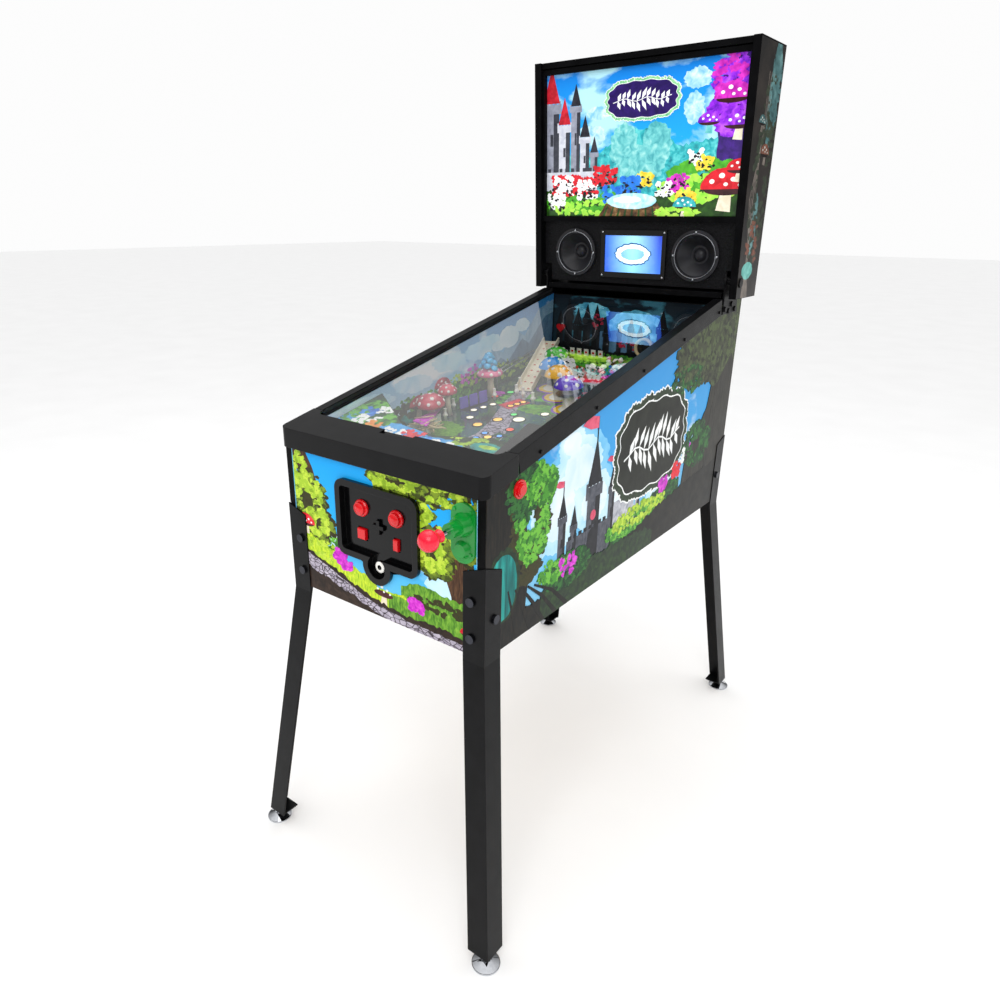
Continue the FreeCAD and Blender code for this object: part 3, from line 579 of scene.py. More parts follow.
def mesh_object(name, mesh, material, smooth=False):
    """Object made from a bmesh, which is used up."""
    data = bpy.data.meshes.new(name)
    mesh.to_mesh(data)
    mesh.free()
    for polygon in data.polygons:
        polygon.use_smooth = smooth
    data.materials.append(material)
    obj = bpy.data.objects.new(name, data)
    bpy.context.scene.collection.objects.link(obj)
    return obj


def ride(obj, body):
    """Tie a piece to its body."""
    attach(obj, body)


class Moulding:
    """Closed bodies of one colour, given in a plane's own coordinates and kept as one piece."""

    def __init__(self, name, start=PLAY_START, up=PLAY_UP, out=PLAY_OUT):
        self.name = name
        self.start, self.up, self.out = start, up, out
        self.mesh = bmesh.new()

    def vert(self, point):
        """Vertex at a point given in the plane's coordinates."""
        x, y, z = point
        return self.mesh.verts.new(self.start + Vector((x, 0, 0)) + self.up * y + self.out * z)

    def skin(self, rings):
        """Faces between neighbouring rings, where a ring of one vertex closes an end."""
        count = max(len(ring) for ring in rings)
        for lower, upper in zip(rings, rings[1:]):
            for i in range(count):
                j = (i + 1) % count
                corners = (lower[i % len(lower)], lower[j % len(lower)], upper[j % len(upper)],
                           upper[i % len(upper)])
                corners = list(dict.fromkeys(corners))
                if len(corners) > 2:
                    self.mesh.faces.new(corners)

    def lathe(self, place, profile, lean=UPRIGHT, segments=20):
        """Turn a profile of (radius, height) pairs, axis to axis, about a leaning axis."""
        turn = UPRIGHT.rotation_difference(lean).to_matrix()
        rings = []
        for radius, height in profile:
            count = 1 if radius < 1e-6 else segments
            ring = []
            for i in range(count):
                a = math.tau * i / segments
                spot = turn @ Vector((radius * math.cos(a), radius * math.sin(a), height))
                ring.append(self.vert(Vector(place) + spot))
            rings.append(ring)
        self.skin(rings)

    def wire(self, path, radius, sides=8):
        """Round bar along a path of points."""
        path = [Vector(point) for point in path]
        rings = [[self.vert(path[0])]]
        for i, point in enumerate(path):
            ahead = (path[min(i + 1, len(path) - 1)] - path[max(i - 1, 0)]).normalized()
            aside = UPRIGHT if abs(ahead.z) < 0.9 else Vector((1, 0, 0))
            across = ahead.cross(aside).normalized()
            over = ahead.cross(across)
            rings.append([self.vert(point + (across * math.cos(a) + over * math.sin(a)) * radius)
                          for a in [math.tau * k / sides for k in range(sides)]])
        rings.append([self.vert(path[-1])])
        self.skin(rings)

    def plate(self, outline, low, high):
        """Flat plate of any outline between two heights."""
        outline = outline if area(outline) > 0 else outline[::-1]
        base = [self.vert((x, y, low)) for x, y in outline]
        top = [self.vert((x, y, high)) for x, y in outline]
        self.mesh.faces.new(top)
        self.mesh.faces.new(base[::-1])
        for i in range(len(outline)):
            j = (i + 1) % len(outline)
            self.mesh.faces.new((base[i], base[j], top[j], top[i]))

    def build(self, material, slot_name, smooth=True, body=CABINET):
        """Finish the piece, with its faces turned outwards."""
        bmesh.ops.triangulate(self.mesh, faces=[f for f in self.mesh.faces if len(f.verts) > 4])
        bmesh.ops.recalc_face_normals(self.mesh, faces=self.mesh.faces[:])
        ride(mesh_object(self.name, self.mesh, material, smooth), body)


def dome(radius, high, base=0.0, steps=7):
    """Profile of a cap with a flat underside."""
    rim = [(radius * math.cos(a), base + high * math.sin(a)) for a in
           [math.pi / 2 * i / steps for i in range(steps)]]
    return [(0, base)] + rim + [(0, base + high)]


def spots(moulding, place, radius, high, size, seed, rings=((0, 1), (38, 5), (66, 8))):
    """Raised dots over a cap."""
    rng = random.Random(seed)
    for tilt, count in rings:
        shift = rng.uniform(0, math.tau)
        for i in range(count):
            a = shift + math.tau * i / count
            t = math.radians(tilt)
            spot = Vector((radius * math.sin(t) * math.cos(a), radius * math.sin(t) * math.sin(a),
                           high * math.cos(t)))
            lean = Vector((spot.x / radius ** 2, spot.y / radius ** 2, spot.z / high ** 2)).normalized()
            grow = size * rng.uniform(0.7, 1.15)
            profile = [(0, -0.0010), (grow, -0.0010), (grow * 0.8, 0.0006), (0, 0.0009)]
            moulding.lathe(Vector(place) + spot, profile, lean, 12)


# ---- picture elements -----------------------------------------------------------------------

def scatter(cx, cy, rx, ry, count, size, seed, points=7, rough=0.45):
    """Small ragged dabs inside an ellipse, denser towards its rim."""
    rng = random.Random(seed)
    patches = []
    for i in range(count):
        angle = rng.uniform(0, math.tau)
        reach = rng.uniform(0.2, 1.08) ** 0.6
        u = cx + rx * reach * math.cos(angle)
        v = cy + ry * reach * math.sin(angle)
        s = size * rng.uniform(0.5, 1.3)
        patches.append(blob(u, v, s, s * rng.uniform(0.5, 0.9), rough, points, seed * 977 + i))
    return patches


def dabs(canvas, key, *patch):
    """One layer of scattered dabs."""
    canvas.add(key, *scatter(*patch))


def tree_crown(canvas, cx, cy, rx, ry, seed, size=0.008):
    """Leafy crown lit from the upper left."""
    canvas.add("leaf_dark", blob(cx, cy, rx, ry, 0.14, 60, seed))
    dabs(canvas, "leaf_dark", cx, cy, rx * 1.1, ry * 1.1, int(900 * (rx + ry)), size, seed + 1)
    dabs(canvas, "leaf_mid", cx, cy, rx * 1.02, ry * 1.02, int(1000 * (rx + ry)), size * 1.1, seed + 2)
    dabs(canvas, "leaf_light", cx - rx * 0.1, cy + ry * 0.15, rx * 0.9, ry * 0.85, int(800 * (rx + ry)),
         size, seed + 3)


def mushroom(canvas, u, v, s, cap="red_paint", stem="cream_paint", seed=1):
    """Spotted toadstool standing at a point, about s wide."""
    canvas.add(stem, stroke([(u, v), (u + 0.05 * s, v + 0.5 * s)], [0.34 * s, 0.22 * s]))
    canvas.add("shade_paint", blob(u, v + 0.46 * s, 0.5 * s, 0.13 * s, 0.02, 24, seed))
    canvas.add(cap, blob(u, v + 0.46 * s, 0.56 * s, 0.44 * s, 0.02, 24, seed + 1, 0, math.pi))
    dots = [(-0.3, 0.62, 0.06), (-0.08, 0.74, 0.07), (0.18, 0.66, 0.06), (0.34, 0.54, 0.05),
            (0.02, 0.56, 0.05)]
    canvas.add("white_paint", *[blob(u + a * s, v + b * s, r * s, r * s * 0.8, 0.05, 12, seed + i)
                                for i, (a, b, r) in enumerate(dots)])


def flowers(canvas, u, v, spread, count, key, seed, size=0.007):
    """Loose bunch of round blooms."""
    rng = random.Random(seed)
    petals = []
    for i in range(count):
        cu = u + spread * rng.uniform(-1, 1)
        cv = v + spread * 0.7 * rng.uniform(-1, 1)
        petals.append(blob(cu, cv, size, size * 0.85, 0.3, 11, seed + i))
    canvas.add(key, *petals)


def tower(canvas, u, base, width, height, wall="stone_paint", roof="roof_paint", flag=None):
    """Round tower with a corbelled head, battlements, a tall cone and an optional pennant."""
    top = base + height
    head = width * 0.65
    canvas.add(wall, rect(u - width / 2, base, u + width / 2, top))
    canvas.add("stone_dark", rect(u + width * 0.12, base, u + width / 2, top))
    canvas.add(wall, rect(u - head, top, u + head, top + width * 0.5))
    merlons = [rect(u - head + i * head * 0.42, top + width * 0.5, u - head + (i * 0.42 + 0.24) * head,
                    top + width * 0.68) for i in range(5)]
    canvas.add(wall, *merlons)
    peak = top + width * 2.4
    canvas.add(roof, [(u - head * 0.85, top + width * 0.55), (u + head * 0.85, top + width * 0.55),
                      (u, peak)])
    canvas.add("stone_dark", rect(u - width * 0.1, base + height * 0.6, u + width * 0.1,
                                  base + height * 0.75))
    if flag:
        canvas.add("stone_dark", rect(u - 0.0012, peak - 0.005, u + 0.0012, peak + width * 0.9))
        canvas.add(flag, [(u, peak + width * 0.9), (u - width * 0.7, peak + width * 1.05),
                          (u - width * 1.2, peak + width * 0.75), (u - width * 0.6, peak + width * 0.5),
                          (u, peak + width * 0.45)])


def sprig(canvas, cu, cv, ru, rv, key, seed):
    """Blank ornament: slender leaves fanned along a gently waved stem."""
    rng = random.Random(seed)
    stem = [(cu + ru * t / 6, cv + 0.12 * rv * math.sin(t * 1.3)) for t in range(-6, 7)]
    leaves = []
    for i, (u, v) in enumerate(stem[1:-1]):
        long = rv * (0.85 - 0.05 * abs(i - 5)) * rng.uniform(0.8, 1.05)
        for side in (-1, 1):
            lean = side * math.radians(rng.uniform(58, 76))
            du, dv = math.cos(lean), math.sin(lean)
            wide = ru * 0.062
            leaves.append([(u, v), (u + du * long * 0.45 + dv * wide, v + dv * long * 0.45 - du * wide),
                           (u + du * long, v + dv * long),
                           (u + du * long * 0.45 - dv * wide, v + dv * long * 0.45 + du * wide)])
    canvas.add(key, *leaves)
    canvas.add(key, stroke(stem, [rv * 0.05] * len(stem)))


def plaque(canvas, cu, cv, ru, rv, seed, rim="leaf_rim", fill="plaque_fill"):
    """Blank ornamental cartouche: a scalloped dark field in a leafy rim, with a sprig on it."""
    def wavy(grow):
        points = []
        for i in range(96):
            a = math.tau * i / 96
            reach = (abs(math.cos(a)) ** 3 + abs(math.sin(a)) ** 3) ** (-1 / 3)
            bulge = reach * (1 + 0.03 * math.cos(14 * a))
            points.append((cu + (ru + grow) * bulge * math.cos(a), cv + (rv + grow) * bulge * math.sin(a)))
        return points
    size = rv * 0.10
    edge = wavy(size * 0.6)
    canvas.add("white_paint", *[blob(u, v, size * 1.35, size * 1.15, 0.4, 9, seed + i)
                                for i, (u, v) in enumerate(edge)])
    canvas.add(rim, *[blob(u, v, size, size * 0.8, 0.5, 9, seed + i) for i, (u, v) in enumerate(edge)])
    canvas.add("white_paint", wavy(0.0))
    canvas.add(fill, wavy(-rv * 0.03))
    sprig(canvas, cu, cv, ru * 0.84, rv * 0.80, "white_paint", seed)


# Each paint's grain (noise scale), its tones, and how its strokes are stretched.
PAINTED = {
    "leaf_dark": (80, "26240e 3a3716 2a3012"), "leaf_rim": (90, "1d2a1a 2e4228"),
    "bark": (60, "2a1a10 4c3220 6a4a30", (9, 9, 1)), "bark_black": (30, "080807 141310 241e16", (6, 6, 1)),
    "bark_grey": (30, "1a1a17 2c2a24 38362e", (6, 6, 1)), "grass": (90, "7fae1e b6d62c e0ea3a", (3, 3, 1)),
    "grass_mid": (80, "3c6e1a 5f962a 86b83a", (3, 3, 1)), "grass_dark": (70, "16241a 21361f 2f4a22"),
    "earth": (70, "1a120c 2e2018 403026"), "earth_black": (40, "0a0a08 15140f 221f17"),
    "cloud": (14, "a4d8f0 c4e8f6 dcf1fa"), "cloud_blue": (14, "5ab4e6 7cc6ee 94d2f2"),
    "cloud_white": (14, "c8e4f2 dceef7 ecf6fb"), "peak_far": (40, "6d9cc0 8ab4d2 a8cbe2", (1, 1, 0.5)),
    "peak_near": (40, "3c6486 547ea0 7098b8", (1, 1, 0.5)), "tower_black": (50, "050608 0c0e12 16181e"),
    "sky_apron": (60, "2c8cd0 58b4ec"), "orange_paint": (80, "e07818 f8a848"),
    "crimson_paint": (60, "8c1430 b82844 d85068"), "stone_paint": (90, "3a3d46 4d505a 5e6068"),
    "stone_dark": (60, "17181d 24252b"), "stone_pale": (70, "8a8d98 b4b6be d0d0d6"),
    "roof_paint": (60, "14151a 24262e"), "pink_paint": (60, "c83a5c e86a84"),
    "red_paint": (60, "c01424 e42436 f04a4a"), "magenta_paint": (120, "9a1aa0 d02cc8 e860dc"),
    "purple_paint": (50, "4a1a8a 7a2cc0 a850e0"), "cream_paint": (50, "d8c8a8 f2e8d0"),
    "shade_paint": (50, "3a1a1c 5a2a2a"), "white_paint": (40, "e8ecec fbfbf8"),
    "yellow_paint": (60, "e8b818 fbe04a"), "blue_paint": (60, "1450a8 2878d8 48a0f0"),
    "teal_paint": (50, "0c5a5c 16908a 30c4b0", (1, 1, 3)),
    "teal_deep": (60, "06403f 0e7470 2ab0a4", (1, 1, 0.12)), "plaque_fill": (40, "14160f 20241a"),
}
LEAVES = {
    "leaf_mid": (130, "3f4a14 5d7320 7c9426"), "leaf_light": (130, "86a824 a4c832 c2dc44"),
    "leaf_deep": (130, "12301a 1c4a22 2e6a2c"), "leaf_green": (130, "2c6a22 45902a 6cb83a"),
    "leaf_olive": (110, "23271a 3a402a 4c5a34"),
}


def paints():
    """The opaque colours of the cabinet and playfield artwork."""
    made = {key: painted(key, tones.split(), grain, *stretch)
            for key, (grain, tones, *stretch) in PAINTED.items()}
    made.update({key: leafy(key, tones.split(), grain) for key, (grain, tones) in LEAVES.items()})
    made["glow_teal"] = painted("glow_teal", ("2c7c9c", "58b0cc", "90dcee"), 50, glow=0.25)
    made["cobble"] = cobbles("cobble")
    made["cobble_flat"] = cobbles("cobble_flat", (1, 1.4, 1))
    made["field_base"] = field_base()
    made["night_sky"] = sky("night_sky", LOW + 0.32, LOW + 0.48, ("0e2c34", "14303c", "0a1a26"), "3c7c90",
                            0.55, 14)
    made["sky_print"] = sky("sky_print", LOW, LOW + 0.27, ("7ccdf2", "28b0ee", "12a2ee"))
    made["sky_side"] = sky("sky_side", LOW, LOW + 0.5, ("8fd0ee", "3aa0e0", "2888d0"), cover=0.62)
    made["sky_wall"] = sky("sky_wall", LOW + 0.24, LOW + 0.46, ("cfe8ee", "8cc4e6", "3c90d4"), "eef8fb",
                           0.55, 7)
    return made


def field_base():
    """Lacquered playfield print: dark greens and blues with violet drifts."""
    s = Shader("field_base")
    tone = s.ramp(s.noise(22, 6, None, 1.2), [(0.32, "0c1a28"), (0.44, "16384a"), (0.52, "1c4a30"),
                                              (0.60, "3c6a2c"), (0.70, "6a4a9a")])
    flecks = s.ramp(s.noise(160, 3), [(0.62, "000000"), (0.70, "ffffff")])
    colour = s.mix(flecks, tone, rgb("7aa85a"))
    return s.done(colour, s.uneven(0.12, 0.2), coat=0.8)


# ---- cabinet artwork ------------------------------------------------------------------------

TRAY_LOW, TRAY_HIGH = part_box("control_tray")
TRAY_STEP = TRAY_LOW[2] + 0.037 - LOW
TRAY_FOOT = TRAY_LOW[2] + 0.033 - LOW
FOOT_RADIUS = 0.033


def tray_zone(margin):
    """Test for points behind the control tray: its panel and the round foot under it."""
    middle = (TRAY_LOW[0] + TRAY_HIGH[0]) / 2

    def inside(u, v):
        across = TRAY_LOW[0] - margin < u < TRAY_HIGH[0] + margin
        in_panel = across and TRAY_STEP - margin < v < TRAY_HIGH[2] - LOW + margin
        return in_panel or math.hypot(u - middle, v - TRAY_FOOT) < FOOT_RADIUS + margin
    return inside


def front_artwork(materials):
    """Tree, meadow and path on the cabinet's front, with a hole behind the control tray."""
    c = Canvas("front_art", (0, FRONT, LOW), (1, 0, 0), UPRIGHT, rect(-INNER, 0, INNER, BAR_BOTTOM + 0.006))
    lap, crest = 0.008, BAR_BOTTOM + 0.005
    left, right = TRAY_LOW[0] + lap, TRAY_HIGH[0] - lap
    panel_low, panel_high = TRAY_STEP + lap, TRAY_HIGH[2] - LOW - lap
    notch = blob(0, TRAY_FOOT, 0.027, 0.027, 0, 24, 1, math.pi + 0.3, math.tau - 0.3)
    c.add("sky_print", rect(-INNER, 0, left, crest), rect(right, 0, INNER, crest),
          rect(left, panel_high, right, crest),
          [(left, 0), (right, 0), (right, panel_low)] + notch[::-1] + [(left, panel_low)])
    c.keep_out = tray_zone(-0.012)
    c.add("cloud", blob(-0.145, 0.112, 0.05, 0.022, 0.15, 30, 5),
          blob(0.150, 0.098, 0.045, 0.030, 0.15, 30, 6))
    dabs(c, "leaf_green", -0.118, 0.105, 0.022, 0.018, 60, 0.006, 8)
    # left tree, its branch and its crown
    c.add("bark", stroke([(-0.215, 0.285), (-0.178, 0.235), (-0.155, 0.20), (-0.140, 0.175)],
                         [0.05, 0.04, 0.022, 0.008]))
    tree_crown(c, -0.178, 0.170, 0.050, 0.062, 11)
    tree_crown(c, -0.150, 0.138, 0.035, 0.030, 15)
    dabs(c, "leaf_light", -0.198, 0.235, 0.022, 0.030, 60, 0.007, 19)
    # right tree
    c.add("bark", stroke([(0.120, 0.20), (0.160, 0.16), (0.190, 0.10), (0.205, 0.0)],
                         [0.03, 0.05, 0.06, 0.075]))
    tree_crown(c, 0.150, 0.215, 0.075, 0.062, 23)
    tree_crown(c, 0.045, 0.262, 0.060, 0.020, 27)
    tree_crown(c, 0.125, 0.150, 0.034, 0.034, 31)
    # ground
    c.keep_out = tray_zone(-0.002)
    c.add("grass_mid", under([(0.05, 0.078), (0.09, 0.092), (0.14, 0.088), (0.215, 0.085)], 0, 0.003, 41))
    c.add("grass", under([(-0.215, 0.130), (-0.16, 0.108), (-0.10, 0.088), (-0.045, 0.074), (0, 0.056)],
                         0, 0.003, 43))
    c.add("grass", under([(0, 0.056), (0.05, 0.060), (0.10, 0.052), (0.12, 0.040)], 0, 0.003, 45))
    c.add("grass_mid", under([(0.02, 0.052), (0.06, 0.056), (0.13, 0.062), (0.215, 0.056)], 0, 0.004, 47))
    dabs(c, "leaf_dark", 0.14, 0.062, 0.07, 0.012, 70, 0.006, 49)
    dabs(c, "leaf_light", -0.15, 0.090, 0.06, 0.018, 90, 0.005, 51)
    mushroom(c, -0.188, 0.112, 0.044, seed=53)
    mushroom(c, 0.008, 0.026, 0.046, seed=57)
    mushroom(c, 0.196, 0.020, 0.030, seed=59)
    flowers(c, -0.098, 0.088, 0.016, 26, "magenta_paint", 61)
    flowers(c, -0.082, 0.074, 0.010, 14, "magenta_paint", 63)
    flowers(c, 0.085, 0.050, 0.014, 26, "magenta_paint", 65)
    c.add("earth", under([(-0.215, 0.086), (-0.13, 0.066), (-0.04, 0.036), (0.05, 0.022), (0.13, 0.026),
                          (0.215, 0.020)], 0, 0.003, 67))
    c.add("cobble", under([(-0.215, 0.080), (-0.13, 0.058), (-0.04, 0.027), (0.06, 0.014), (0.215, 0.012)],
                          0, 0.0015, 69))
    c.add("earth", under([(-0.215, 0.052), (-0.13, 0.034), (-0.04, 0.012), (0.02, 0.0)], -0.01, 0.003, 71))
    c.keep_out = None
    edge = 0.0009
    c.add("cloud_blue", rect(-INNER, 0, -INNER + edge, 0.3), rect(INNER - edge, 0, INNER, 0.3))
    c.build(materials)


def front_trim():
    """White badge disc in the tray's foot, and the dark bottom of the lockbar's finger notch."""
    centre = Vector((0, FRONT + 0.001, TRAY_LOW[2] + 0.031))
    badge = Moulding("badge_disc", centre, UPRIGHT, FORWARD)
    badge.lathe((0, 0, 0), [(0, -0.0002), (0.0108, -0.0002), (0.0105, 0.0008), (0.008, 0.0011),
                            (0, 0.0011)],
                segments=32)
    badge.build(M["white"], "white_plastic")
    ring = Moulding("badge_ring", centre, UPRIGHT, FORWARD)
    ring.lathe((0, 0, 0), [(0, 0.0008), (0.0045, 0.0008), (0.0045, 0.0016), (0, 0.0018)], segments=24)
    ring.build(M["gloss_black"], "black_plastic")
    recess = Moulding("notch_recess", RAIL_START, RAIL_UP, RAIL_OUT)
    recess.plate(rect(-0.038, 0.040, 0.038, 0.0600), -0.0046, -0.0034)
    recess.build(M["gloss_black"], "black_plastic", False, "lockbar")


def side_top(u):
    """Height of the cabinet side's top edge above its bottom."""
    below_rail = 0.0154
    return min(RAIL_HEIGHT - LOW - below_rail + math.tan(RAIL_TILT) * u, NECK)


def side_artwork(materials, side):
    """Castle and woods on a cabinet side, cut out round the tops of the legs."""
    flat = (NECK - side_top(0)) / math.tan(RAIL_TILT)
    gap = 0.0006
    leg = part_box("leg_front_right")[1]
    leaf, crest = leg[1] - FRONT + gap, leg[2] - LOW + gap
    far, slope = LENGTH - leaf, 0.016
    sheets = [[(0, crest), (leaf, crest - slope), (leaf, side_top(leaf)), (0, side_top(0))],
              [(leaf, 0), (far, 0), (far, NECK), (flat, NECK), (leaf, side_top(leaf))],
              [(far, crest - slope), (LENGTH, crest), (LENGTH, NECK), (far, NECK)]]
    c, pen = flank("right_art" if side > 0 else "left_art", (side * SIDE, FRONT, LOW), side, sheets)
    side_picture(pen)
    c.build(materials)


def side_picture(c):
    """A castle on a hill between a front tree and a dark wood, with a blank cartouche."""
    c.add("sky_side", rect(0, 0, LENGTH, NECK))
    puffs = [(0.21, 0.19, 0.085, 0.085), (0.28, 0.25, 0.080, 0.060), (0.34, 0.17, 0.070, 0.060),
             (0.25, 0.30, 0.045, 0.030), (0.62, 0.12, 0.060, 0.040), (0.44, 0.13, 0.060, 0.045)]
    c.add("cloud_blue", *[blob(u, v, ru * 1.22, rv * 1.25, 0.06, 60, 100 + i)
                          for i, (u, v, ru, rv) in enumerate(puffs)])
    for grow, key, seed in ((0.98, "cloud", 110), (0.66, "cloud_white", 120)):
        for i, (u, v, ru, rv) in enumerate(puffs):
            c.add(key, blob(u - 0.006, v + 0.006, ru * grow, rv * grow, 0.07, 60, seed + i))
    # castle
    c.add("stone_pale", rect(0.40, 0.05, 0.50, 0.150), rect(0.50, 0.05, 0.53, 0.120))
    tower(c, 0.515, 0.05, 0.020, 0.10, "stone_pale", "roof_paint")
    c.add("stone_paint", rect(0.24, 0.04, 0.40, 0.125))
    tower(c, 0.222, 0.05, 0.024, 0.115, flag="pink_paint")
    tower(c, 0.262, 0.05, 0.020, 0.090)
    tower(c, 0.400, 0.05, 0.022, 0.125, flag="pink_paint")
    tower(c, 0.330, 0.05, 0.046, 0.135, flag="pink_paint")
    c.add("stone_dark", blob(0.330, 0.095, 0.018, 0.030, 0, 24, 7))
    c.add("pink_paint", blob(0.330, 0.150, 0.010, 0.010, 0, 24, 7))
    c.add("stone_dark", *[rect(0.245 + 0.018 * i, 0.125, 0.255 + 0.018 * i, 0.132) for i in range(8)])
    plaque(c, 0.565, 0.235, 0.150, 0.092, 131)
    # hedge and flowers
    c.add("leaf_deep", under([(0.36, 0.055), (0.45, 0.075), (0.55, 0.105), (0.64, 0.135), (0.72, 0.12)], 0,
                             0.006, 141))
    dabs(c, "leaf_green", 0.52, 0.085, 0.13, 0.022, 260, 0.008, 143)
    dabs(c, "leaf_light", 0.53, 0.095, 0.12, 0.020, 200, 0.006, 145)
    flowers(c, 0.635, 0.128, 0.020, 30, "magenta_paint", 147)
    flowers(c, 0.700, 0.145, 0.022, 26, "red_paint", 149)
    flowers(c, 0.760, 0.175, 0.020, 26, "magenta_paint", 151)
    # dark woodland behind, with gaps of sky
    c.add("bark_grey", under([(0.72, 0.0), (0.745, 0.16), (0.79, 0.20), (0.84, 0.26), (0.86, 0.34),
                              (0.99, 0.36)],
                             0, 0.004, 153))
    c.add("leaf_olive", blob(0.86, 0.41, 0.16, 0.085, 0.12, 70, 155),
          blob(0.74, 0.400, 0.09, 0.050, 0.15, 60, 157), rect(0.93, 0.30, 0.99, 0.5))
    dabs(c, "leaf_olive", 0.78, 0.365, 0.13, 0.045, 260, 0.010, 159)
    dabs(c, "leaf_deep", 0.72, 0.345, 0.08, 0.03, 90, 0.007, 161)
    dabs(c, "leaf_olive", 0.90, 0.40, 0.10, 0.09, 320, 0.011, 163)
    c.add("bark_grey", stroke([(0.99, 0.33), (0.93, 0.28), (0.90, 0.18), (0.93, 0.05), (0.99, 0.0)],
                              [0.10, 0.11, 0.10, 0.12, 0.14]))
    dabs(c, "leaf_deep", 0.80, 0.18, 0.07, 0.05, 160, 0.010, 165)
    dabs(c, "white_paint", 0.725, 0.175, 0.012, 0.02, 8, 0.008, 167)
    # ground
    c.add("earth_black", under([(0, 0.05), (0.2, 0.045), (0.36, 0.050), (0.5, 0.060), (0.62, 0.085),
                                (0.75, 0.10), (0.99, 0.12)], 0, 0.004, 169))
    c.add("grass_dark", under([(0.16, 0.055), (0.3, 0.065), (0.42, 0.060), (0.56, 0.050), (0.6, 0.03)],
                              -0.01, 0.005, 171))
    dabs(c, "leaf_deep", 0.25, 0.070, 0.07, 0.03, 200, 0.009, 173)
    dabs(c, "leaf_green", 0.20, 0.085, 0.045, 0.022, 70, 0.007, 175)
    flowers(c, 0.245, 0.082, 0.030, 22, "magenta_paint", 177, 0.006)
    # front tree
    c.add("bark_black", rect(0, 0, 0.075, 0.34), blob(0.06, 0.12, 0.06, 0.15, 0.08, 50, 181))
    dabs(c, "leaf_dark", 0.12, 0.20, 0.055, 0.10, 240, 0.010, 183)
    dabs(c, "leaf_green", 0.130, 0.215, 0.050, 0.085, 300, 0.008, 185)
    dabs(c, "leaf_deep", 0.10, 0.26, 0.045, 0.045, 160, 0.008, 187)
    dabs(c, "leaf_green", 0.155, 0.255, 0.040, 0.030, 130, 0.008, 188)
    c.add("grass_dark", blob(0.046, 0.113, 0.047, 0.066, 0.04, 40, 190))
    c.add("teal_deep", blob(0.045, 0.110, 0.040, 0.059, 0.02, 40, 189))
    c.add("bark_black", *[stroke([(0.06 + 0.02 * i, 0.10 - 0.005 * i), (0.075 + 0.03 * i, 0.05),
                                  (0.09 + 0.04 * i, 0.0)],
                                 [0.004, 0.007, 0.010]) for i in range(5)])


def box_side_artwork(materials, side):
    """Muted night garden on a side of the backbox."""
    low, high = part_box("backbox_right_side" if side > 0 else "backbox_left_side")
    depth, tall = high[1] - low[1], high[2] - low[2]
    foot = 0.0394
    outline = [(foot, 0.001), (depth - 0.0005, 0.001), (depth - 0.0095, tall - 0.003),
               (0.001, tall - 0.005)]
    name = "box_right_art" if side > 0 else "box_left_art"
    c, pen = flank(name, (high[0] if side > 0 else low[0], low[1], low[2]), side, [outline], BACKBOX)
    pen.add("box_night", rect(-0.01, -0.01, 0.2, 0.6))
    pen.add("night_teal", blob(0.110, 0.40, 0.030, 0.10, 0.15, 40, 201),
            blob(0.085, 0.15, 0.022, 0.06, 0.2, 36, 203))
    pen.add("night_grey", *[stroke([(0.07 + 0.01 * i, 0.0), (0.075 - 0.01 * i, 0.2),
                                    (0.07 + 0.012 * i, 0.44)],
                                   [0.008, 0.004, 0.002]) for i in range(4)])
    dabs(pen, "night_leaf", 0.10, 0.25, 0.05, 0.18, 160, 0.008, 205)
    dabs(pen, "night_rust", 0.095, 0.11, 0.03, 0.05, 50, 0.007, 207)
    dabs(pen, "night_teal", 0.12, 0.42, 0.03, 0.06, 60, 0.009, 209)
    pen.add("teal_soft", blob(0.085, 0.058, 0.032, 0.018, 0.05, 30, 211))
    mushroom(pen, 0.10, 0.27, 0.045, "night_rust", "night_grey", 213)
    mushroom(pen, 0.062, 0.33, 0.035, "night_teal", "night_grey", 215)
    c.build(materials)


def night_paints():
    """Colours of the backbox sides."""
    return {
        "box_night": painted("box_night", ("1c1c1d", "2b2826", "37322f"), 12),
        "night_teal": painted("night_teal", ("2c4a4c", "4a7072", "6a9494"), 40),
        "teal_soft": painted("teal_soft", ("4a9c94", "80c8be"), 60),
        "night_grey": painted("night_grey", ("5a544e", "8a8078"), 60),
        "night_leaf": painted("night_leaf", ("2c332a", "414a3a"), 60),
        "night_rust": painted("night_rust", ("5a3a30", "8a5a48"), 60),
        "white_paint": painted("night_white", ("b8b8b0", "d8d8d0"), 60),
        "shade_paint": painted("night_shade", ("181414", "241c1c"), 60),
    }


# ---- backbox picture ------------------------------------------------------------------------

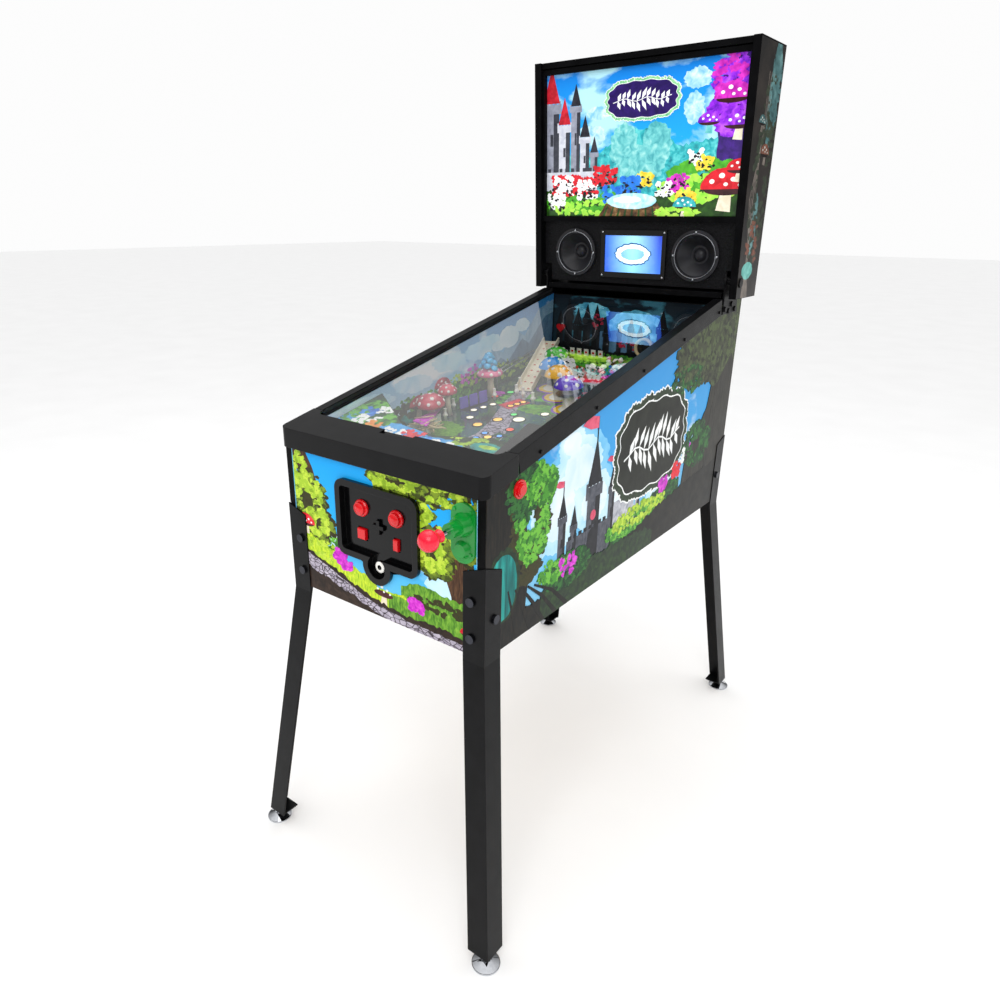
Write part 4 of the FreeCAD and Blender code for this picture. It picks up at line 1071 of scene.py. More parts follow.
def lit_paints():
    """Backlit colours of the picture panel."""
    glow = 0.14
    codes = {
        "leaf_dark": ("14320c", "2a5a14"), "leaf_mid": ("2e8a1c", "5cc42c"),
        "leaf_light": ("86e03a", "c8f45a"), "purple_paint": ("5a10b0", "9a28e8", "c860ff"),
        "violet_dark": ("280a5c", "451a8c"), "red_paint": ("c00a1c", "f01c30"),
        "white_paint": ("f2f6f6", "ffffff"), "cream_paint": ("e8dcc0", "fff6e0"),
        "shade_paint": ("2a0c14", "481c24"), "stone_paint": ("7c8090", "a4a8b8"),
        "stone_dark": ("2a2c36", "40434e"), "stone_pale": ("b8bccc", "dfe2ea"),
        "roof_paint": ("1a1a24", "34343e"), "roof_red": ("a01420", "d8283a"),
        "cloud": ("7cc4e4", "b0e0f2", "e4f6fc"), "teal_paint": ("127c8c", "2cb4bc", "6cdcdc"),
        "teal_pale": ("3ca0aa", "6ccacc", "a8e6e2"), "magenta_paint": ("b014a4", "f03cd8"),
        "yellow_paint": ("f0c014", "fff05a"), "blue_paint": ("1060d0", "2c90f8"),
        "pond_paint": ("88dcf0", "c8f4fc", "f0feff"), "bark": ("3a2410", "6a4824", "a07c4c"),
        "plaque_violet": ("20104e", "321a70"), "plaque_rim": ("5cb07c", "a8e8a8"),
        "black_paint": ("08080c", "14141c"),
    }
    made = {key: painted("lit_" + key, tones, 70, glow=glow, coat=0.6) for key, tones in codes.items()}
    low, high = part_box("translite")
    made["sky_lit"] = sky("lit_sky", low[2], high[2], ("3cc0e0", "20a8ec", "0a7ce0"), "b4e8f6", 0.50, 7,
                          glow)
    return made


def picture_panel(materials):
    """Garden, castle and giant mushrooms on the backlit panel, with a blank cartouche."""
    behind_face = 0.020
    left, low, right, high = -0.239, 0.167, 0.239, 0.471
    c = Canvas("picture", FACE_ORIGIN + FACE_BACK * behind_face, (1, 0, 0), FACE_UP,
               rect(-0.24, 0.166, 0.24, 0.472), BACKBOX, "backlit_print")
    c.add("sky_lit", rect(left, low, right, high))
    puffs = [(-0.12, 0.34, 0.04, 0.022), (-0.10, 0.385, 0.03, 0.014), (0.13, 0.435, 0.030, 0.020),
             (0.125, 0.38, 0.022, 0.030)]
    for i, (u, v, ru, rv) in enumerate(puffs):
        c.add("cloud", blob(u, v, ru, rv, 0.12, 40, 300 + i))
    c.add("teal_paint", under([(-0.24, 0.30), (-0.10, 0.30), (-0.03, 0.35), (0.03, 0.345), (0.10, 0.31),
                               (0.24, 0.33)],
                              0.1, 0.003, 307))
    c.add("teal_pale", blob(-0.035, 0.315, 0.035, 0.045, 0.1, 40, 309),
          blob(0.045, 0.315, 0.035, 0.045, 0.1, 40, 311), blob(0.005, 0.275, 0.06, 0.04, 0.08, 40, 313))
    # castle
    tower(c, -0.225, 0.22, 0.040, 0.17, "stone_paint", "roof_red", "red_paint")
    tower(c, -0.190, 0.22, 0.030, 0.13, "stone_pale", "roof_red")
    tower(c, -0.160, 0.22, 0.024, 0.17)
    tower(c, -0.135, 0.22, 0.024, 0.105, "stone_pale")
    tower(c, -0.110, 0.22, 0.018, 0.075)
    c.add("stone_pale", rect(-0.24, 0.20, -0.10, 0.265))
    c.add("stone_dark", *[rect(-0.235 + 0.016 * i, 0.265, -0.227 + 0.016 * i, 0.273) for i in range(9)])
    # purple wood on the right
    c.add("violet_dark", blob(0.222, 0.36, 0.045, 0.13, 0.12, 50, 321))
    dabs(c, "purple_paint", 0.205, 0.40, 0.045, 0.07, 230, 0.008, 323)
    dabs(c, "magenta_paint", 0.195, 0.43, 0.035, 0.04, 90, 0.006, 325)
    mushroom(c, 0.205, 0.36, 0.070, "magenta_paint", "purple_paint", 327)
    mushroom(c, 0.160, 0.33, 0.045, "purple_paint", "teal_pale", 329)
    mushroom(c, 0.222, 0.315, 0.060, "purple_paint", "cream_paint", 331)
    # greenery
    c.add("leaf_dark", under([(-0.24, 0.225), (-0.16, 0.215), (-0.06, 0.205), (0.0, 0.195), (0.07, 0.215),
                              (0.14, 0.25), (0.24, 0.26)], 0.1, 0.004, 333))
    dabs(c, "leaf_mid", 0.16, 0.25, 0.08, 0.028, 240, 0.008, 335)
    dabs(c, "leaf_mid", -0.12, 0.195, 0.12, 0.020, 240, 0.008, 337)
    dabs(c, "leaf_light", 0.15, 0.225, 0.09, 0.025, 200, 0.007, 339)
    dabs(c, "leaf_light", -0.10, 0.185, 0.12, 0.016, 160, 0.006, 341)
    # flower beds with dark gaps
    beds = [(-0.19, 0.235, 0.030, 60, "red_paint"), (-0.19, 0.235, 0.028, 40, "white_paint"),
            (-0.13, 0.235, 0.030, 60, "red_paint"), (-0.13, 0.225, 0.028, 30, "white_paint"),
            (-0.08, 0.255, 0.028, 50, "red_paint"), (-0.21, 0.20, 0.022, 30, "white_paint"),
            (0.10, 0.235, 0.024, 30, "magenta_paint"), (0.07, 0.225, 0.02, 24, "white_paint"),
            (0.12, 0.21, 0.02, 30, "yellow_paint"), (-0.06, 0.215, 0.024, 30, "blue_paint"),
            (0.02, 0.245, 0.018, 34, "yellow_paint"), (-0.015, 0.235, 0.022, 40, "blue_paint"),
            (0.14, 0.285, 0.02, 24, "white_paint"), (0.16, 0.275, 0.018, 20, "yellow_paint")]
    for i, (u, v, r, n, key) in enumerate(beds):
        flowers(c, u, v, r, n, key, 343 + 7 * i, 0.0055)
        dabs(c, "black_paint", u, v - 0.3 * r, r, 0.7 * r, n // 2, 0.0036, 345 + 7 * i)
    # stump with its pool
    c.add("bark", stroke([(-0.01, 0.195), (-0.01, 0.165)], [0.13, 0.17]))
    c.add("leaf_dark", *[stroke([(-0.07 + 0.016 * i, 0.190), (-0.08 + 0.018 * i, 0.166)], [0.003, 0.006])
                         for i in range(8)])
    c.add("pond_paint", blob(-0.01, 0.200, 0.062, 0.017, 0.03, 40, 401))
    c.add("white_paint", blob(-0.02, 0.203, 0.035, 0.007, 0.05, 30, 403))
    mushroom(c, 0.205, 0.178, 0.095, "red_paint", "cream_paint", 405)
    mushroom(c, 0.118, 0.165, 0.048, "teal_paint", "cream_paint", 407)
    mushroom(c, 0.232, 0.235, 0.050, "red_paint", "cream_paint", 409)
    dabs(c, "leaf_light", 0.10, 0.175, 0.05, 0.010, 60, 0.006, 411)
    plaque(c, 0.005, 0.405, 0.082, 0.036, 413, "plaque_rim", "plaque_violet")
    c.build(materials)


def screen_picture():
    """Lit display: blue field with a pale vignette and a blank oval."""
    s = Shader("screen_glow")
    low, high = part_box("display")
    across = s.height(low[0], high[0], "X")
    up = s.height(low[2], high[2], "Z")
    colour = s.mix(up, s.ramp(across, [(0.1, "1450bc"), (0.5, "7cc4ec"), (0.9, "2a6ad0")]),
                   s.ramp(across, [(0.1, "2c66d4"), (0.5, "96d2f0"), (0.9, "122cae")]))
    colour = s.mix(s.ramp(s.noise(30, 4), [(0.45, "000000"), (0.7, "404040")]), colour, rgb("e6f6fc"))
    blue = s.done(colour, 0.1, coat=0.5, glow=0.9)
    behind_face = 0.0174
    lit = rect(-0.0725, 0.0425, 0.0725, 0.1255)
    c = Canvas("screen", FACE_ORIGIN + FACE_BACK * behind_face, (1, 0, 0), FACE_UP, lit, BACKBOX, "screen")
    c.add("blue", lit)
    c.add("rim", blob(0, 0.084, 0.046, 0.025, 0.06, 60, 431))
    c.add("pale", blob(0, 0.084, 0.043, 0.022, 0.05, 60, 431))
    c.add("blue", blob(0, 0.084, 0.030, 0.013, 0.05, 60, 433))
    c.build({"blue": blue, "rim": painted("screen_rim", ("28507c", "3c6ca0"), 80, glow=0.6),
             "pale": painted("screen_pale", ("c4e8f6", "f0fbff"), 80, glow=0.9)})


def face_screws():
    """Bright screws round the speakers and at the display's corners, and in each speaker a thin bright
    steel ring, a painted highlight along the edge of its black ring.
    """
    low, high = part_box("speakers")
    speaker_radius = 0.0553
    reach = (high[0] - low[0]) / 2 - speaker_radius
    bolt_circle = 0.0505
    places = [(side * reach + dx, SPEAKER_HEIGHT + dz, 0.0125) for side in (-1, 1)
              for dx, dz in ((bolt_circle, 0), (-bolt_circle, 0), (0, bolt_circle), (0, -bolt_circle))]
    places += [(x, z, 0.0138) for x in (-0.078, 0.078) for z in (0.035, 0.133)]
    heads = Moulding("face_screws", FACE_ORIGIN, FACE_UP, -FACE_BACK)
    for x, z, depth in places:
        heads.lathe((x, z, -depth), [(0, -0.0004), (0.0024, -0.0004), (0.0023, 0.0005), (0.0008, 0.0008),
                                     (0, 0.0006)], segments=16)
    heads.build(M["chrome"], "chrome", True, BACKBOX)
    # thin steel ring in each speaker: painted highlight on the edge of the speaker's black ring
    rings = Moulding("speaker_trim", FACE_ORIGIN, FACE_UP, -FACE_BACK)
    radius, depth, turns = 0.0475, 0.0136, 48
    for side in (-1, 1):
        circle = [(side * reach + radius * math.cos(a), SPEAKER_HEIGHT + radius * math.sin(a), -depth)
                  for a in [math.tau * i / turns for i in range(turns + 1)]]
        rings.wire(circle, 0.0007, 6)
    rings.build(M["steel"], "steel", True, BACKBOX)


# ---- inside the cabinet ---------------------------------------------------------------------

def wall_artwork(materials, side):
    """Picture along an inner side wall, clear of the playfield, the glass and the flipper button."""
    over_field, under_rail = 0.0015, 0.0170

    def low(u):
        return PLAY_HEIGHT - LOW + over_field + math.tan(PLAY_TILT) * u

    def high(u):
        return RAIL_HEIGHT - LOW + math.tan(RAIL_TILT) * u - under_rail

    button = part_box("flipper_button_left")[1]
    behind, above = 0.004, 0.012
    clear_u, clear_v = button[1] - FRONT + behind, button[2] - LOW + above
    start, end = 0.02, BACK_Y - 0.001
    sheets = [[(start, clear_v), (clear_u, clear_v), (clear_u, high(clear_u)), (start, high(start))],
              [(clear_u, low(clear_u)), (end, low(end)), (end, high(end)), (clear_u, high(clear_u))]]
    name = "right_wall_art" if side > 0 else "left_wall_art"
    c, pen = flank(name, (side * INNER, FRONT, LOW), -side, sheets)
    pen.add("sky_wall", rect(0, 0, 0.9, 0.6))
    puffs = [(0.20, 0.315, 0.07, 0.018), (0.33, 0.335, 0.06, 0.018), (0.45, 0.365, 0.06, 0.020),
             (0.555, 0.375, 0.05, 0.020), (0.60, 0.39, 0.05, 0.018)]
    pen.add("cloud", *[blob(u, v, a, b, 0.12, 40, 500 + i) for i, (u, v, a, b) in enumerate(puffs)])
    pen.add("peak_far", [(0.47, 0.28), (0.53, 0.345), (0.56, 0.335), (0.61, 0.375), (0.65, 0.36),
                         (0.70, 0.41), (0.74, 0.39), (0.80, 0.45), (0.88, 0.47), (0.9, 0.3)])
    pen.add("cloud_white", blob(0.675, 0.395, 0.040, 0.026, 0.04, 48, 507),
            blob(0.73, 0.418, 0.030, 0.016, 0.08, 40, 508), blob(0.63, 0.378, 0.026, 0.012, 0.08, 40, 509))
    pen.add("peak_near", [(0.50, 0.26), (0.555, 0.315), (0.58, 0.305), (0.64, 0.350), (0.67, 0.335),
                          (0.73, 0.385), (0.76, 0.370), (0.83, 0.43), (0.88, 0.44), (0.9, 0.3), (0.5, 0.2)])
    pen.add("leaf_deep", under([(0.0, 0.285), (0.12, 0.272), (0.20, 0.262), (0.30, 0.275), (0.38, 0.298),
                                (0.46, 0.318), (0.53, 0.325), (0.60, 0.330), (0.70, 0.335), (0.9, 0.36)],
                               0.1, 0.006, 511))
    dabs(pen, "leaf_green", 0.42, 0.295, 0.14, 0.020, 200, 0.006, 513)
    dabs(pen, "leaf_light", 0.62, 0.320, 0.20, 0.020, 140, 0.005, 515)
    dabs(pen, "leaf_olive", 0.33, 0.280, 0.08, 0.016, 120, 0.006, 517)
    dabs(pen, "teal_paint", 0.22, 0.262, 0.10, 0.014, 60, 0.007, 518)
    mushroom(pen, 0.345, 0.262, 0.052, "crimson_paint", "cream_paint", 519)
    mushroom(pen, 0.425, 0.290, 0.050, "crimson_paint", "cream_paint", 521)
    mushroom(pen, 0.225, 0.255, 0.030, "pink_paint", "cream_paint", 523)
    flowers(pen, 0.52, 0.325, 0.030, 20, "magenta_paint", 525, 0.005)
    flowers(pen, 0.13, 0.262, 0.040, 22, "red_paint", 527, 0.005)
    c.build(materials)


# Left, bottom, right and top of the ball tunnel's clearance in the backboard picture.
TUNNEL = (0.127, 0.048, 0.173, 0.094)


def over_tunnel(u, v):
    """True for a point in the tunnel's clearance."""
    return TUNNEL[0] < u < TUNNEL[2] and TUNNEL[1] < v < TUNNEL[3]


def backboard_artwork(materials):
    """Dark castle against a glowing sky on the board behind the playfield."""
    low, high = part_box("backboard")
    half, top = INNER - 0.003, high[2] - low[2] - 0.001
    c = Canvas("backboard_art", (0, low[1], low[2]), (1, 0, 0), UPRIGHT, rect(-half, 0.001, half, top),
               CABINET, "playfield_print")
    left, floor, right, roof = TUNNEL
    c.add("night_sky", rect(-half, 0, left, 0.17), rect(right, 0, half, 0.17), rect(left, 0, right, floor),
          rect(left, roof, right, 0.17))
    c.keep_out = over_tunnel
    c.add("glow_teal", blob(0.020, 0.085, 0.080, 0.055, 0.06, 50, 601),
          blob(-0.10, 0.13, 0.05, 0.02, 0.1, 40, 603))
    c.add("peak_near", blob(-0.01, 0.06, 0.09, 0.03, 0.1, 50, 605))
    near = [(-0.190, 0.020, 0.06), (-0.165, 0.022, 0.085), (-0.138, 0.024, 0.060), (-0.112, 0.020, 0.080),
            (-0.085, 0.022, 0.075), (-0.055, 0.018, 0.050), (0.090, 0.024, 0.070), (0.190, 0.020, 0.070)]
    for u, wide, tall in near:
        tower(c, u, 0.02, wide, tall, "tower_black", "tower_black")
    distant = [(-0.020, 0.012, 0.045), (0.010, 0.014, 0.060), (0.035, 0.012, 0.050), (0.058, 0.010, 0.036)]
    for u, wide, tall in distant:
        tower(c, u, 0.03, wide, tall, "stone_dark", "roof_paint")
    c.add("tower_black", under([(-0.22, 0.045), (-0.12, 0.05), (-0.04, 0.035), (0.03, 0.04), (0.10, 0.045),
                                (0.125, 0.04)], 0, 0.003, 607))
    dabs(c, "crimson_paint", 0.015, 0.055, 0.04, 0.008, 24, 0.004, 609)
    dabs(c, "crimson_paint", -0.08, 0.105, 0.012, 0.02, 16, 0.004, 611)
    dabs(c, "leaf_green", -0.06, 0.018, 0.15, 0.010, 160, 0.006, 613)
    c.keep_out = None
    c.build(materials)


def apron_artwork(materials):
    """Flower garden on the apron, and the black cover over the plunger lane."""
    below_rail = 0.029
    sheets = [[(-0.209, 0.059), (-0.066, 0.059), (-0.066, 0.133), (-0.209, 0.230)],
              [(-0.066, 0.059), (0.020, 0.059), (0.020, 0.121), (-0.066, 0.133)],
              [(0.020, 0.059), (0.120, 0.059), (0.120, 0.149), (0.020, 0.121)],
              [(0.120, 0.059), (0.209, 0.059), (0.209, 0.149), (0.120, 0.149)]]
    c = Canvas("apron_art", RAIL_START - RAIL_OUT * below_rail, (1, 0, 0), RAIL_UP, sheets, CABINET,
               "playfield_print")
    c.add("grass_dark", rect(-0.22, 0.05, 0.22, 0.24))
    c.add("leaf_deep", blob(-0.16, 0.14, 0.07, 0.08, 0.15, 60, 701))
    c.add("sky_apron", blob(-0.19, 0.10, 0.04, 0.05, 0.1, 40, 703),
          blob(-0.05, 0.115, 0.06, 0.022, 0.1, 40, 705), blob(0.05, 0.10, 0.05, 0.018, 0.1, 40, 707))
    dabs(c, "leaf_green", -0.15, 0.15, 0.06, 0.06, 200, 0.007, 709)
    dabs(c, "leaf_light", -0.02, 0.075, 0.18, 0.018, 240, 0.006, 711)
    dabs(c, "leaf_light", 0.09, 0.13, 0.035, 0.02, 60, 0.006, 713)
    beds = [(-0.165, 0.155, 0.022, 26, "blue_paint"), (-0.150, 0.125, 0.024, 24, "white_paint"),
            (-0.140, 0.170, 0.018, 16, "white_paint"), (-0.120, 0.115, 0.014, 14, "orange_paint"),
            (-0.06, 0.100, 0.024, 26, "white_paint"), (-0.02, 0.108, 0.022, 18, "red_paint"),
            (0.02, 0.100, 0.020, 20, "blue_paint"), (0.05, 0.095, 0.022, 26, "white_paint"),
            (-0.10, 0.080, 0.020, 16, "yellow_paint"), (0.08, 0.085, 0.02, 16, "orange_paint"),
            (-0.19, 0.075, 0.016, 16, "magenta_paint"), (0.10, 0.075, 0.014, 14, "red_paint")]
    for i, (u, v, r, n, key) in enumerate(beds):
        flowers(c, u, v, r, n, key, 715 + 9 * i, 0.0055)
    c.add("teal_paint", blob(0.135, 0.118, 0.030, 0.016, 0.05, 30, 841))
    c.add("leaf_light", blob(0.137, 0.120, 0.020, 0.006, 0.2, 20, 843))
    c.build(materials)
    cover = Moulding("lane_cover", RAIL_START, RAIL_UP, RAIL_OUT)
    cover.plate([(0.166, 0.070), (0.209, 0.070), (0.209, 0.222), (0.150, 0.222)], -0.0280, -0.0265)
    cover.build(M["gloss_black"], "black_plastic", False)


# Places of the three bumpers on the playfield.
BUMPERS = ((0.032, 0.562), (-0.030, 0.622), (-0.078, 0.672))


def beside_lane(sheet):
    """Parts of an upright rectangle that leave the ball's rolling line bare."""
    low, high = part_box("game_ball")
    centre, half, end = (low[0] + high[0]) / 2, 0.006, 0.695
    left, right = centre - half, centre + half
    (u0, v0), (u1, _), (_, v1), _ = sheet
    if u1 <= left or v0 >= end:
        return [sheet]
    top = min(v1, end)
    pieces = [rect(u0, v0, left, top), rect(right, v0, u1, top)]
    if v1 > end:
        pieces.append(rect(u0, end, u1, v1))
    return pieces


def field_artwork(materials):
    """Playfield print, cut round the slots of the flippers and drop targets and beside the ball's lane."""
    edge, low, high = 0.211, 0.206, 0.226
    whole = [rect(-edge, 0.135, edge, low), rect(-edge, low, -0.102, high), rect(-0.090, low, 0.038, high),
             rect(0.050, low, edge, high), rect(-edge, high, edge, 0.448),
             rect(-edge, 0.448, -0.189, 0.534), rect(-0.159, 0.448, edge, 0.534),
             rect(-edge, 0.534, edge, 0.8665)]
    sheets = [piece for sheet in whole for piece in beside_lane(sheet)]
    c = Canvas("field_art", PLAY_START, (1, 0, 0), PLAY_UP, sheets, CABINET, "playfield_print")
    c.add("field_base", rect(-0.3, 0, 0.3, 1))
    c.add("grass_mid", blob(-0.15, 0.33, 0.06, 0.05, 0.15, 50, 901),
          blob(0.11, 0.42, 0.05, 0.09, 0.15, 50, 903), blob(-0.02, 0.53, 0.05, 0.03, 0.15, 50, 905))
    dabs(c, "leaf_green", -0.05, 0.56, 0.10, 0.05, 160, 0.008, 907)
    dabs(c, "leaf_light", 0.10, 0.44, 0.05, 0.10, 90, 0.006, 909)
    c.add("cobble_flat", stroke([(-0.02, 0.26), (-0.03, 0.36), (-0.06, 0.44), (-0.10, 0.53),
                                 (-0.125, 0.62)],
                                [0.10, 0.06, 0.045, 0.04, 0.04]))
    dabs(c, "leaf_deep", 0.03, 0.36, 0.05, 0.03, 70, 0.006, 911)
    for key, radius, seed in (("purple_paint", 0.040, 913), ("yellow_paint", 0.034, 919)):
        c.add(key, *[blob(u, v, radius, radius, 0.03, 40, seed + 2 * i)
                     for i, (u, v) in enumerate(BUMPERS)])
    dabs(c, "crimson_paint", 0.06, 0.66, 0.06, 0.05, 60, 0.009, 925)
    dabs(c, "white_paint", 0.07, 0.60, 0.05, 0.06, 40, 0.006, 927)
    flowers(c, -0.03, 0.30, 0.030, 30, "magenta_paint", 929, 0.005)
    flowers(c, 0.09, 0.33, 0.030, 30, "red_paint", 931, 0.005)
    flowers(c, -0.18, 0.58, 0.020, 24, "magenta_paint", 933, 0.006)
    c.add("crimson_paint", [(-0.125, 0.515), (-0.085, 0.502), (-0.066, 0.560), (-0.106, 0.573)])
    c.add("red_paint", [(-0.119, 0.519), (-0.089, 0.509), (-0.072, 0.556), (-0.102, 0.566)])
    c.add("yellow_paint", rect(0.1795, 0.16, 0.1815, 0.69), rect(0.1955, 0.16, 0.1975, 0.69))
    c.build(materials)


def inserts():
    """Lit plastic lenses let into the playfield."""
    lens = {"pale": [(-0.028, 0.458, 0.013), (-0.152, 0.462, 0.0072), (-0.144, 0.487, 0.0072),
                     (-0.136, 0.512, 0.0072), (0.004, 0.510, 0.009), (0.075, 0.470, 0.008),
                     (-0.130, 0.420, 0.008)],
            "amber": [(-0.068, 0.437, 0.010), (-0.088, 0.393, 0.010), (-0.094, 0.521, 0.0065),
                      (-0.088, 0.538, 0.0065), (-0.083, 0.555, 0.0065), (0.110, 0.520, 0.008),
                      (-0.026, 0.345, 0.008)],
            "red": [(-0.010, 0.400, 0.008), (0.045, 0.420, 0.008), (0.100, 0.560, 0.008),
                    (-0.165, 0.560, 0.008)],
            "green": [(0.020, 0.440, 0.008), (0.080, 0.510, 0.008), (-0.150, 0.600, 0.008),
                      (-0.055, 0.478, 0.007)],
            "blue": [(-0.045, 0.360, 0.006), (-0.008, 0.360, 0.006), (-0.045, 0.330, 0.006),
                     (-0.008, 0.330, 0.006)]}
    tints = {"pale": ("f4ecd0", "fffbe8"), "amber": ("f0a828", "fcd878"), "red": ("e83020", "fc7858"),
             "green": ("30c050", "80ec90"), "blue": ("2878e8", "80c0fc")}
    collar = Moulding("lens_collars")
    for key, places in lens.items():
        lit = Moulding("lens_" + key)
        for x, y, r in places:
            collar.lathe((x, y, 0), [(0, 0.0002), (r + 0.0028, 0.0002), (r + 0.0026, 0.0010), (0, 0.0010)],
                         segments=24)
            lit.lathe((x, y, 0), [(0, 0.0004), (r, 0.0004), (r * 0.95, 0.0014), (r * 0.5, 0.0019),
                                  (0, 0.0020)],
                      segments=24)
        lit.build(painted("lens_tint_" + key, tints[key], 120, glow=0.9, coat=0.8), "cap_plastic")
    collar.build(M["gloss_black"], "black_plastic", False)


def mushrooms():
    """Big toadstools, and the dots on them and on the bumper caps."""
    stems, white = Moulding("mushroom_stems"), Moulding("cap_spots")
    caps = {"crimson": [(-0.178, 0.352, 0.042, 0.032, 0.026), (-0.184, 0.415, 0.050, 0.022, 0.020)],
            "rose": [(-0.176, 0.560, 0.052, 0.030, 0.016)],
            "lime": [(-0.118, 0.752, 0.052, 0.030, 0.022), (0.125, 0.780, 0.040, 0.026, 0.018)],
            "sky_blue": [(0.110, 0.660, 0.036, 0.024, 0.018)]}
    for key, group in caps.items():
        cap = Moulding("mushroom_" + key)
        for i, (x, y, z, r, h) in enumerate(group):
            cap.lathe((x, y, z), dome(r, h), segments=32)
            stems.lathe((x, y, 0), [(0, 0), (r * 0.34, 0), (r * 0.24, z * 0.6), (r * 0.3, z), (0, z)])
            spots(white, (x, y, z), r, h, r * 0.14, 40 + i + int(x * 1000))
        cap.build(M[key], "cap_plastic")
    for x, y in BUMPERS:
        spots(white, (x, y, 0.040), 0.035, 0.035, 0.0052, 77 + int(x * 1000), ((0, 1), (30, 4), (54, 7)))
    white.build(M["white"], "white_plastic")
    stems.build(M["cream"], "white_plastic")


def blue_bloom():
    """Petals wound in a spiral on top of the rose toadstool."""
    petals = Moulding("blue_bloom")
    count, step = 14, 2.4
    for i in range(count):
        a = i * step
        reach = 0.004 + 0.0011 * i
        place = (-0.178 + reach * math.cos(a), 0.560 + reach * math.sin(a), 0.066 + 0.0022 * (count - i))
        petals.lathe(place, dome(0.0085, 0.006), Vector((math.cos(a), math.sin(a), 1.2)).normalized(), 10)
    petals.build(M["sky_blue"], "cap_plastic")


def stick_pile(rng):
    """Heap of loose sticks beside the left flipper lane."""
    sticks = Moulding("stick_pile")
    spread = 0.018
    for i in range(26):
        a = rng.uniform(0, math.pi)
        cx, cy = -0.148 + rng.uniform(-spread, spread), 0.300 + rng.uniform(-spread, spread)
        z = 0.004 + 0.001 * i
        half = rng.uniform(0.014, 0.024)
        sticks.wire([(cx - half * math.cos(a), cy - half * math.sin(a), z),
                     (cx + half * math.cos(a), cy + half * math.sin(a), z + rng.uniform(-0.002, 0.006))],
                    0.0016, 6)
    sticks.build(M["tan"], "white_plastic")


def wire_rails():
    """Twin-wire ball rails on both sides, with their ties and struts."""
    rail = Moulding("wire_rails")
    bar = 0.0013
    for shift in (0.0, 0.016):
        left = [(-0.203, 0.600, 0.036), (-0.203, 0.680, 0.044), (-0.202, 0.780, 0.050),
                (-0.190, 0.840, 0.052)]
        right = [(0.148, 0.560, 0.030), (0.150, 0.700, 0.046), (0.140, 0.800, 0.052), (0.100, 0.850, 0.052)]
        rail.wire([(x + shift, y, z) for x, y, z in left], bar)
        rail.wire([(x - shift, y, z) for x, y, z in right], bar)
    for x, y, z in ((-0.195, 0.610, 0.035), (-0.195, 0.780, 0.048), (0.140, 0.580, 0.031),
                    (0.141, 0.700, 0.044)):
        rail.wire([(x - 0.010, y, z - 0.001), (x + 0.010, y, z - 0.001)], 0.0011)
        rail.wire([(x, y, 0), (x, y, z)], bar)
    rail.build(M["steel"], "steel")


def rubber_posts():
    """White posts with a rubber ring at mid height."""
    posts = Moulding("rubber_posts")
    places = [(-0.125, 0.590), (-0.060, 0.560), (0.085, 0.540), (0.100, 0.620), (0.060, 0.700),
              (-0.150, 0.640), (-0.100, 0.580), (0.125, 0.480), (-0.195, 0.445), (-0.155, 0.545),
              (0.020, 0.740), (-0.040, 0.760), (0.118, 0.386), (-0.170, 0.386)]
    profile = [(0, 0), (0.0035, 0), (0.0035, 0.008), (0.0055, 0.009), (0.0055, 0.013), (0.0035, 0.014),
               (0.0035, 0.024), (0.0045, 0.025), (0, 0.027)]
    for x, y in places:
        posts.lathe((x, y, 0), profile, segments=16)
    posts.build(M["white"], "white_plastic")


def raised_plastics(materials):
    """Flat printed plastics carried on the posts."""
    shapes = {
        "leaf_green": [[(0.124, 0.290), (0.124, 0.384), (0.076, 0.278)],
                       blob(-0.165, 0.800, 0.038, 0.040, 0.2, 26, 51),
                       blob(0.155, 0.620, 0.008, 0.04, 0.2, 20, 52)],
        "magenta_paint": [[(-0.176, 0.290), (-0.176, 0.384), (-0.128, 0.278)],
                          blob(0.055, 0.720, 0.030, 0.018, 0.2, 24, 53)],
        "teal_paint": [blob(-0.020, 0.740, 0.040, 0.016, 0.15, 26, 54),
                       blob(0.115, 0.560, 0.020, 0.030, 0.15, 26, 55)],
        "crimson_paint": [blob(0.020, 0.680, 0.030, 0.014, 0.25, 24, 56),
                          blob(0.075, 0.640, 0.018, 0.020, 0.25, 24, 57)],
    }
    for key, outlines in shapes.items():
        sheet = Moulding("plastic_" + key)
        for outline in outlines:
            sheet.plate(outline, 0.0272, 0.0287)
        sheet.build(materials[key], "playfield_print", False)


def flower_bank(rng):
    """White and pink blooms massed at the rear."""
    blooms = {"white": Moulding("bloom_white"), "pink": Moulding("bloom_pink")}
    for i in range(60):
        key = "white" if i % 3 else "pink"
        x, y = 0.050 + rng.uniform(-0.065, 0.065), 0.760 + rng.uniform(-0.045, 0.060)
        z = 0.030 + rng.uniform(0, 0.018)
        blooms[key].lathe((x, y, z), dome(rng.uniform(0.004, 0.008), 0.004),
                          Vector((rng.uniform(-0.6, 0.6), rng.uniform(-0.8, 0.2), 1)).normalized(), 9)
    for key, moulding in blooms.items():
        moulding.build(M[key], "cap_plastic")


def card_shelf(materials):
    """Hedge shelf at the rear with a row of marked cards."""
    shelf = Moulding("card_shelf")
    count = 12
    arc = [(-0.155 + 0.13 * i / count, 0.846 - 0.012 * math.sin(math.pi * i / count))
           for i in range(count + 1)]
    shelf.plate(arc + [(-0.025, 0.8615), (-0.155, 0.8615)], 0.022, 0.030)
    shelf.build(materials["leaf_light"], "playfield_print", False)
    cards, marks = Moulding("card_row"), Moulding("card_marks")
    for i in range(5):
        x = -0.138 + 0.020 * i
        cards.plate(rect(x, 0.8475, x + 0.012, 0.8490), 0.030, 0.047)
        marks.lathe((-0.132 + 0.020 * i, 0.8473, 0.039),
                    [(0, -0.0005), (0.003, -0.0005), (0.003, 0.0004), (0, 0.0005)], FORWARD, 12)
    cards.build(M["white"], "white_plastic", False)
    ramp_marks(marks)
    marks.build(M["red"], "cap_plastic", False)


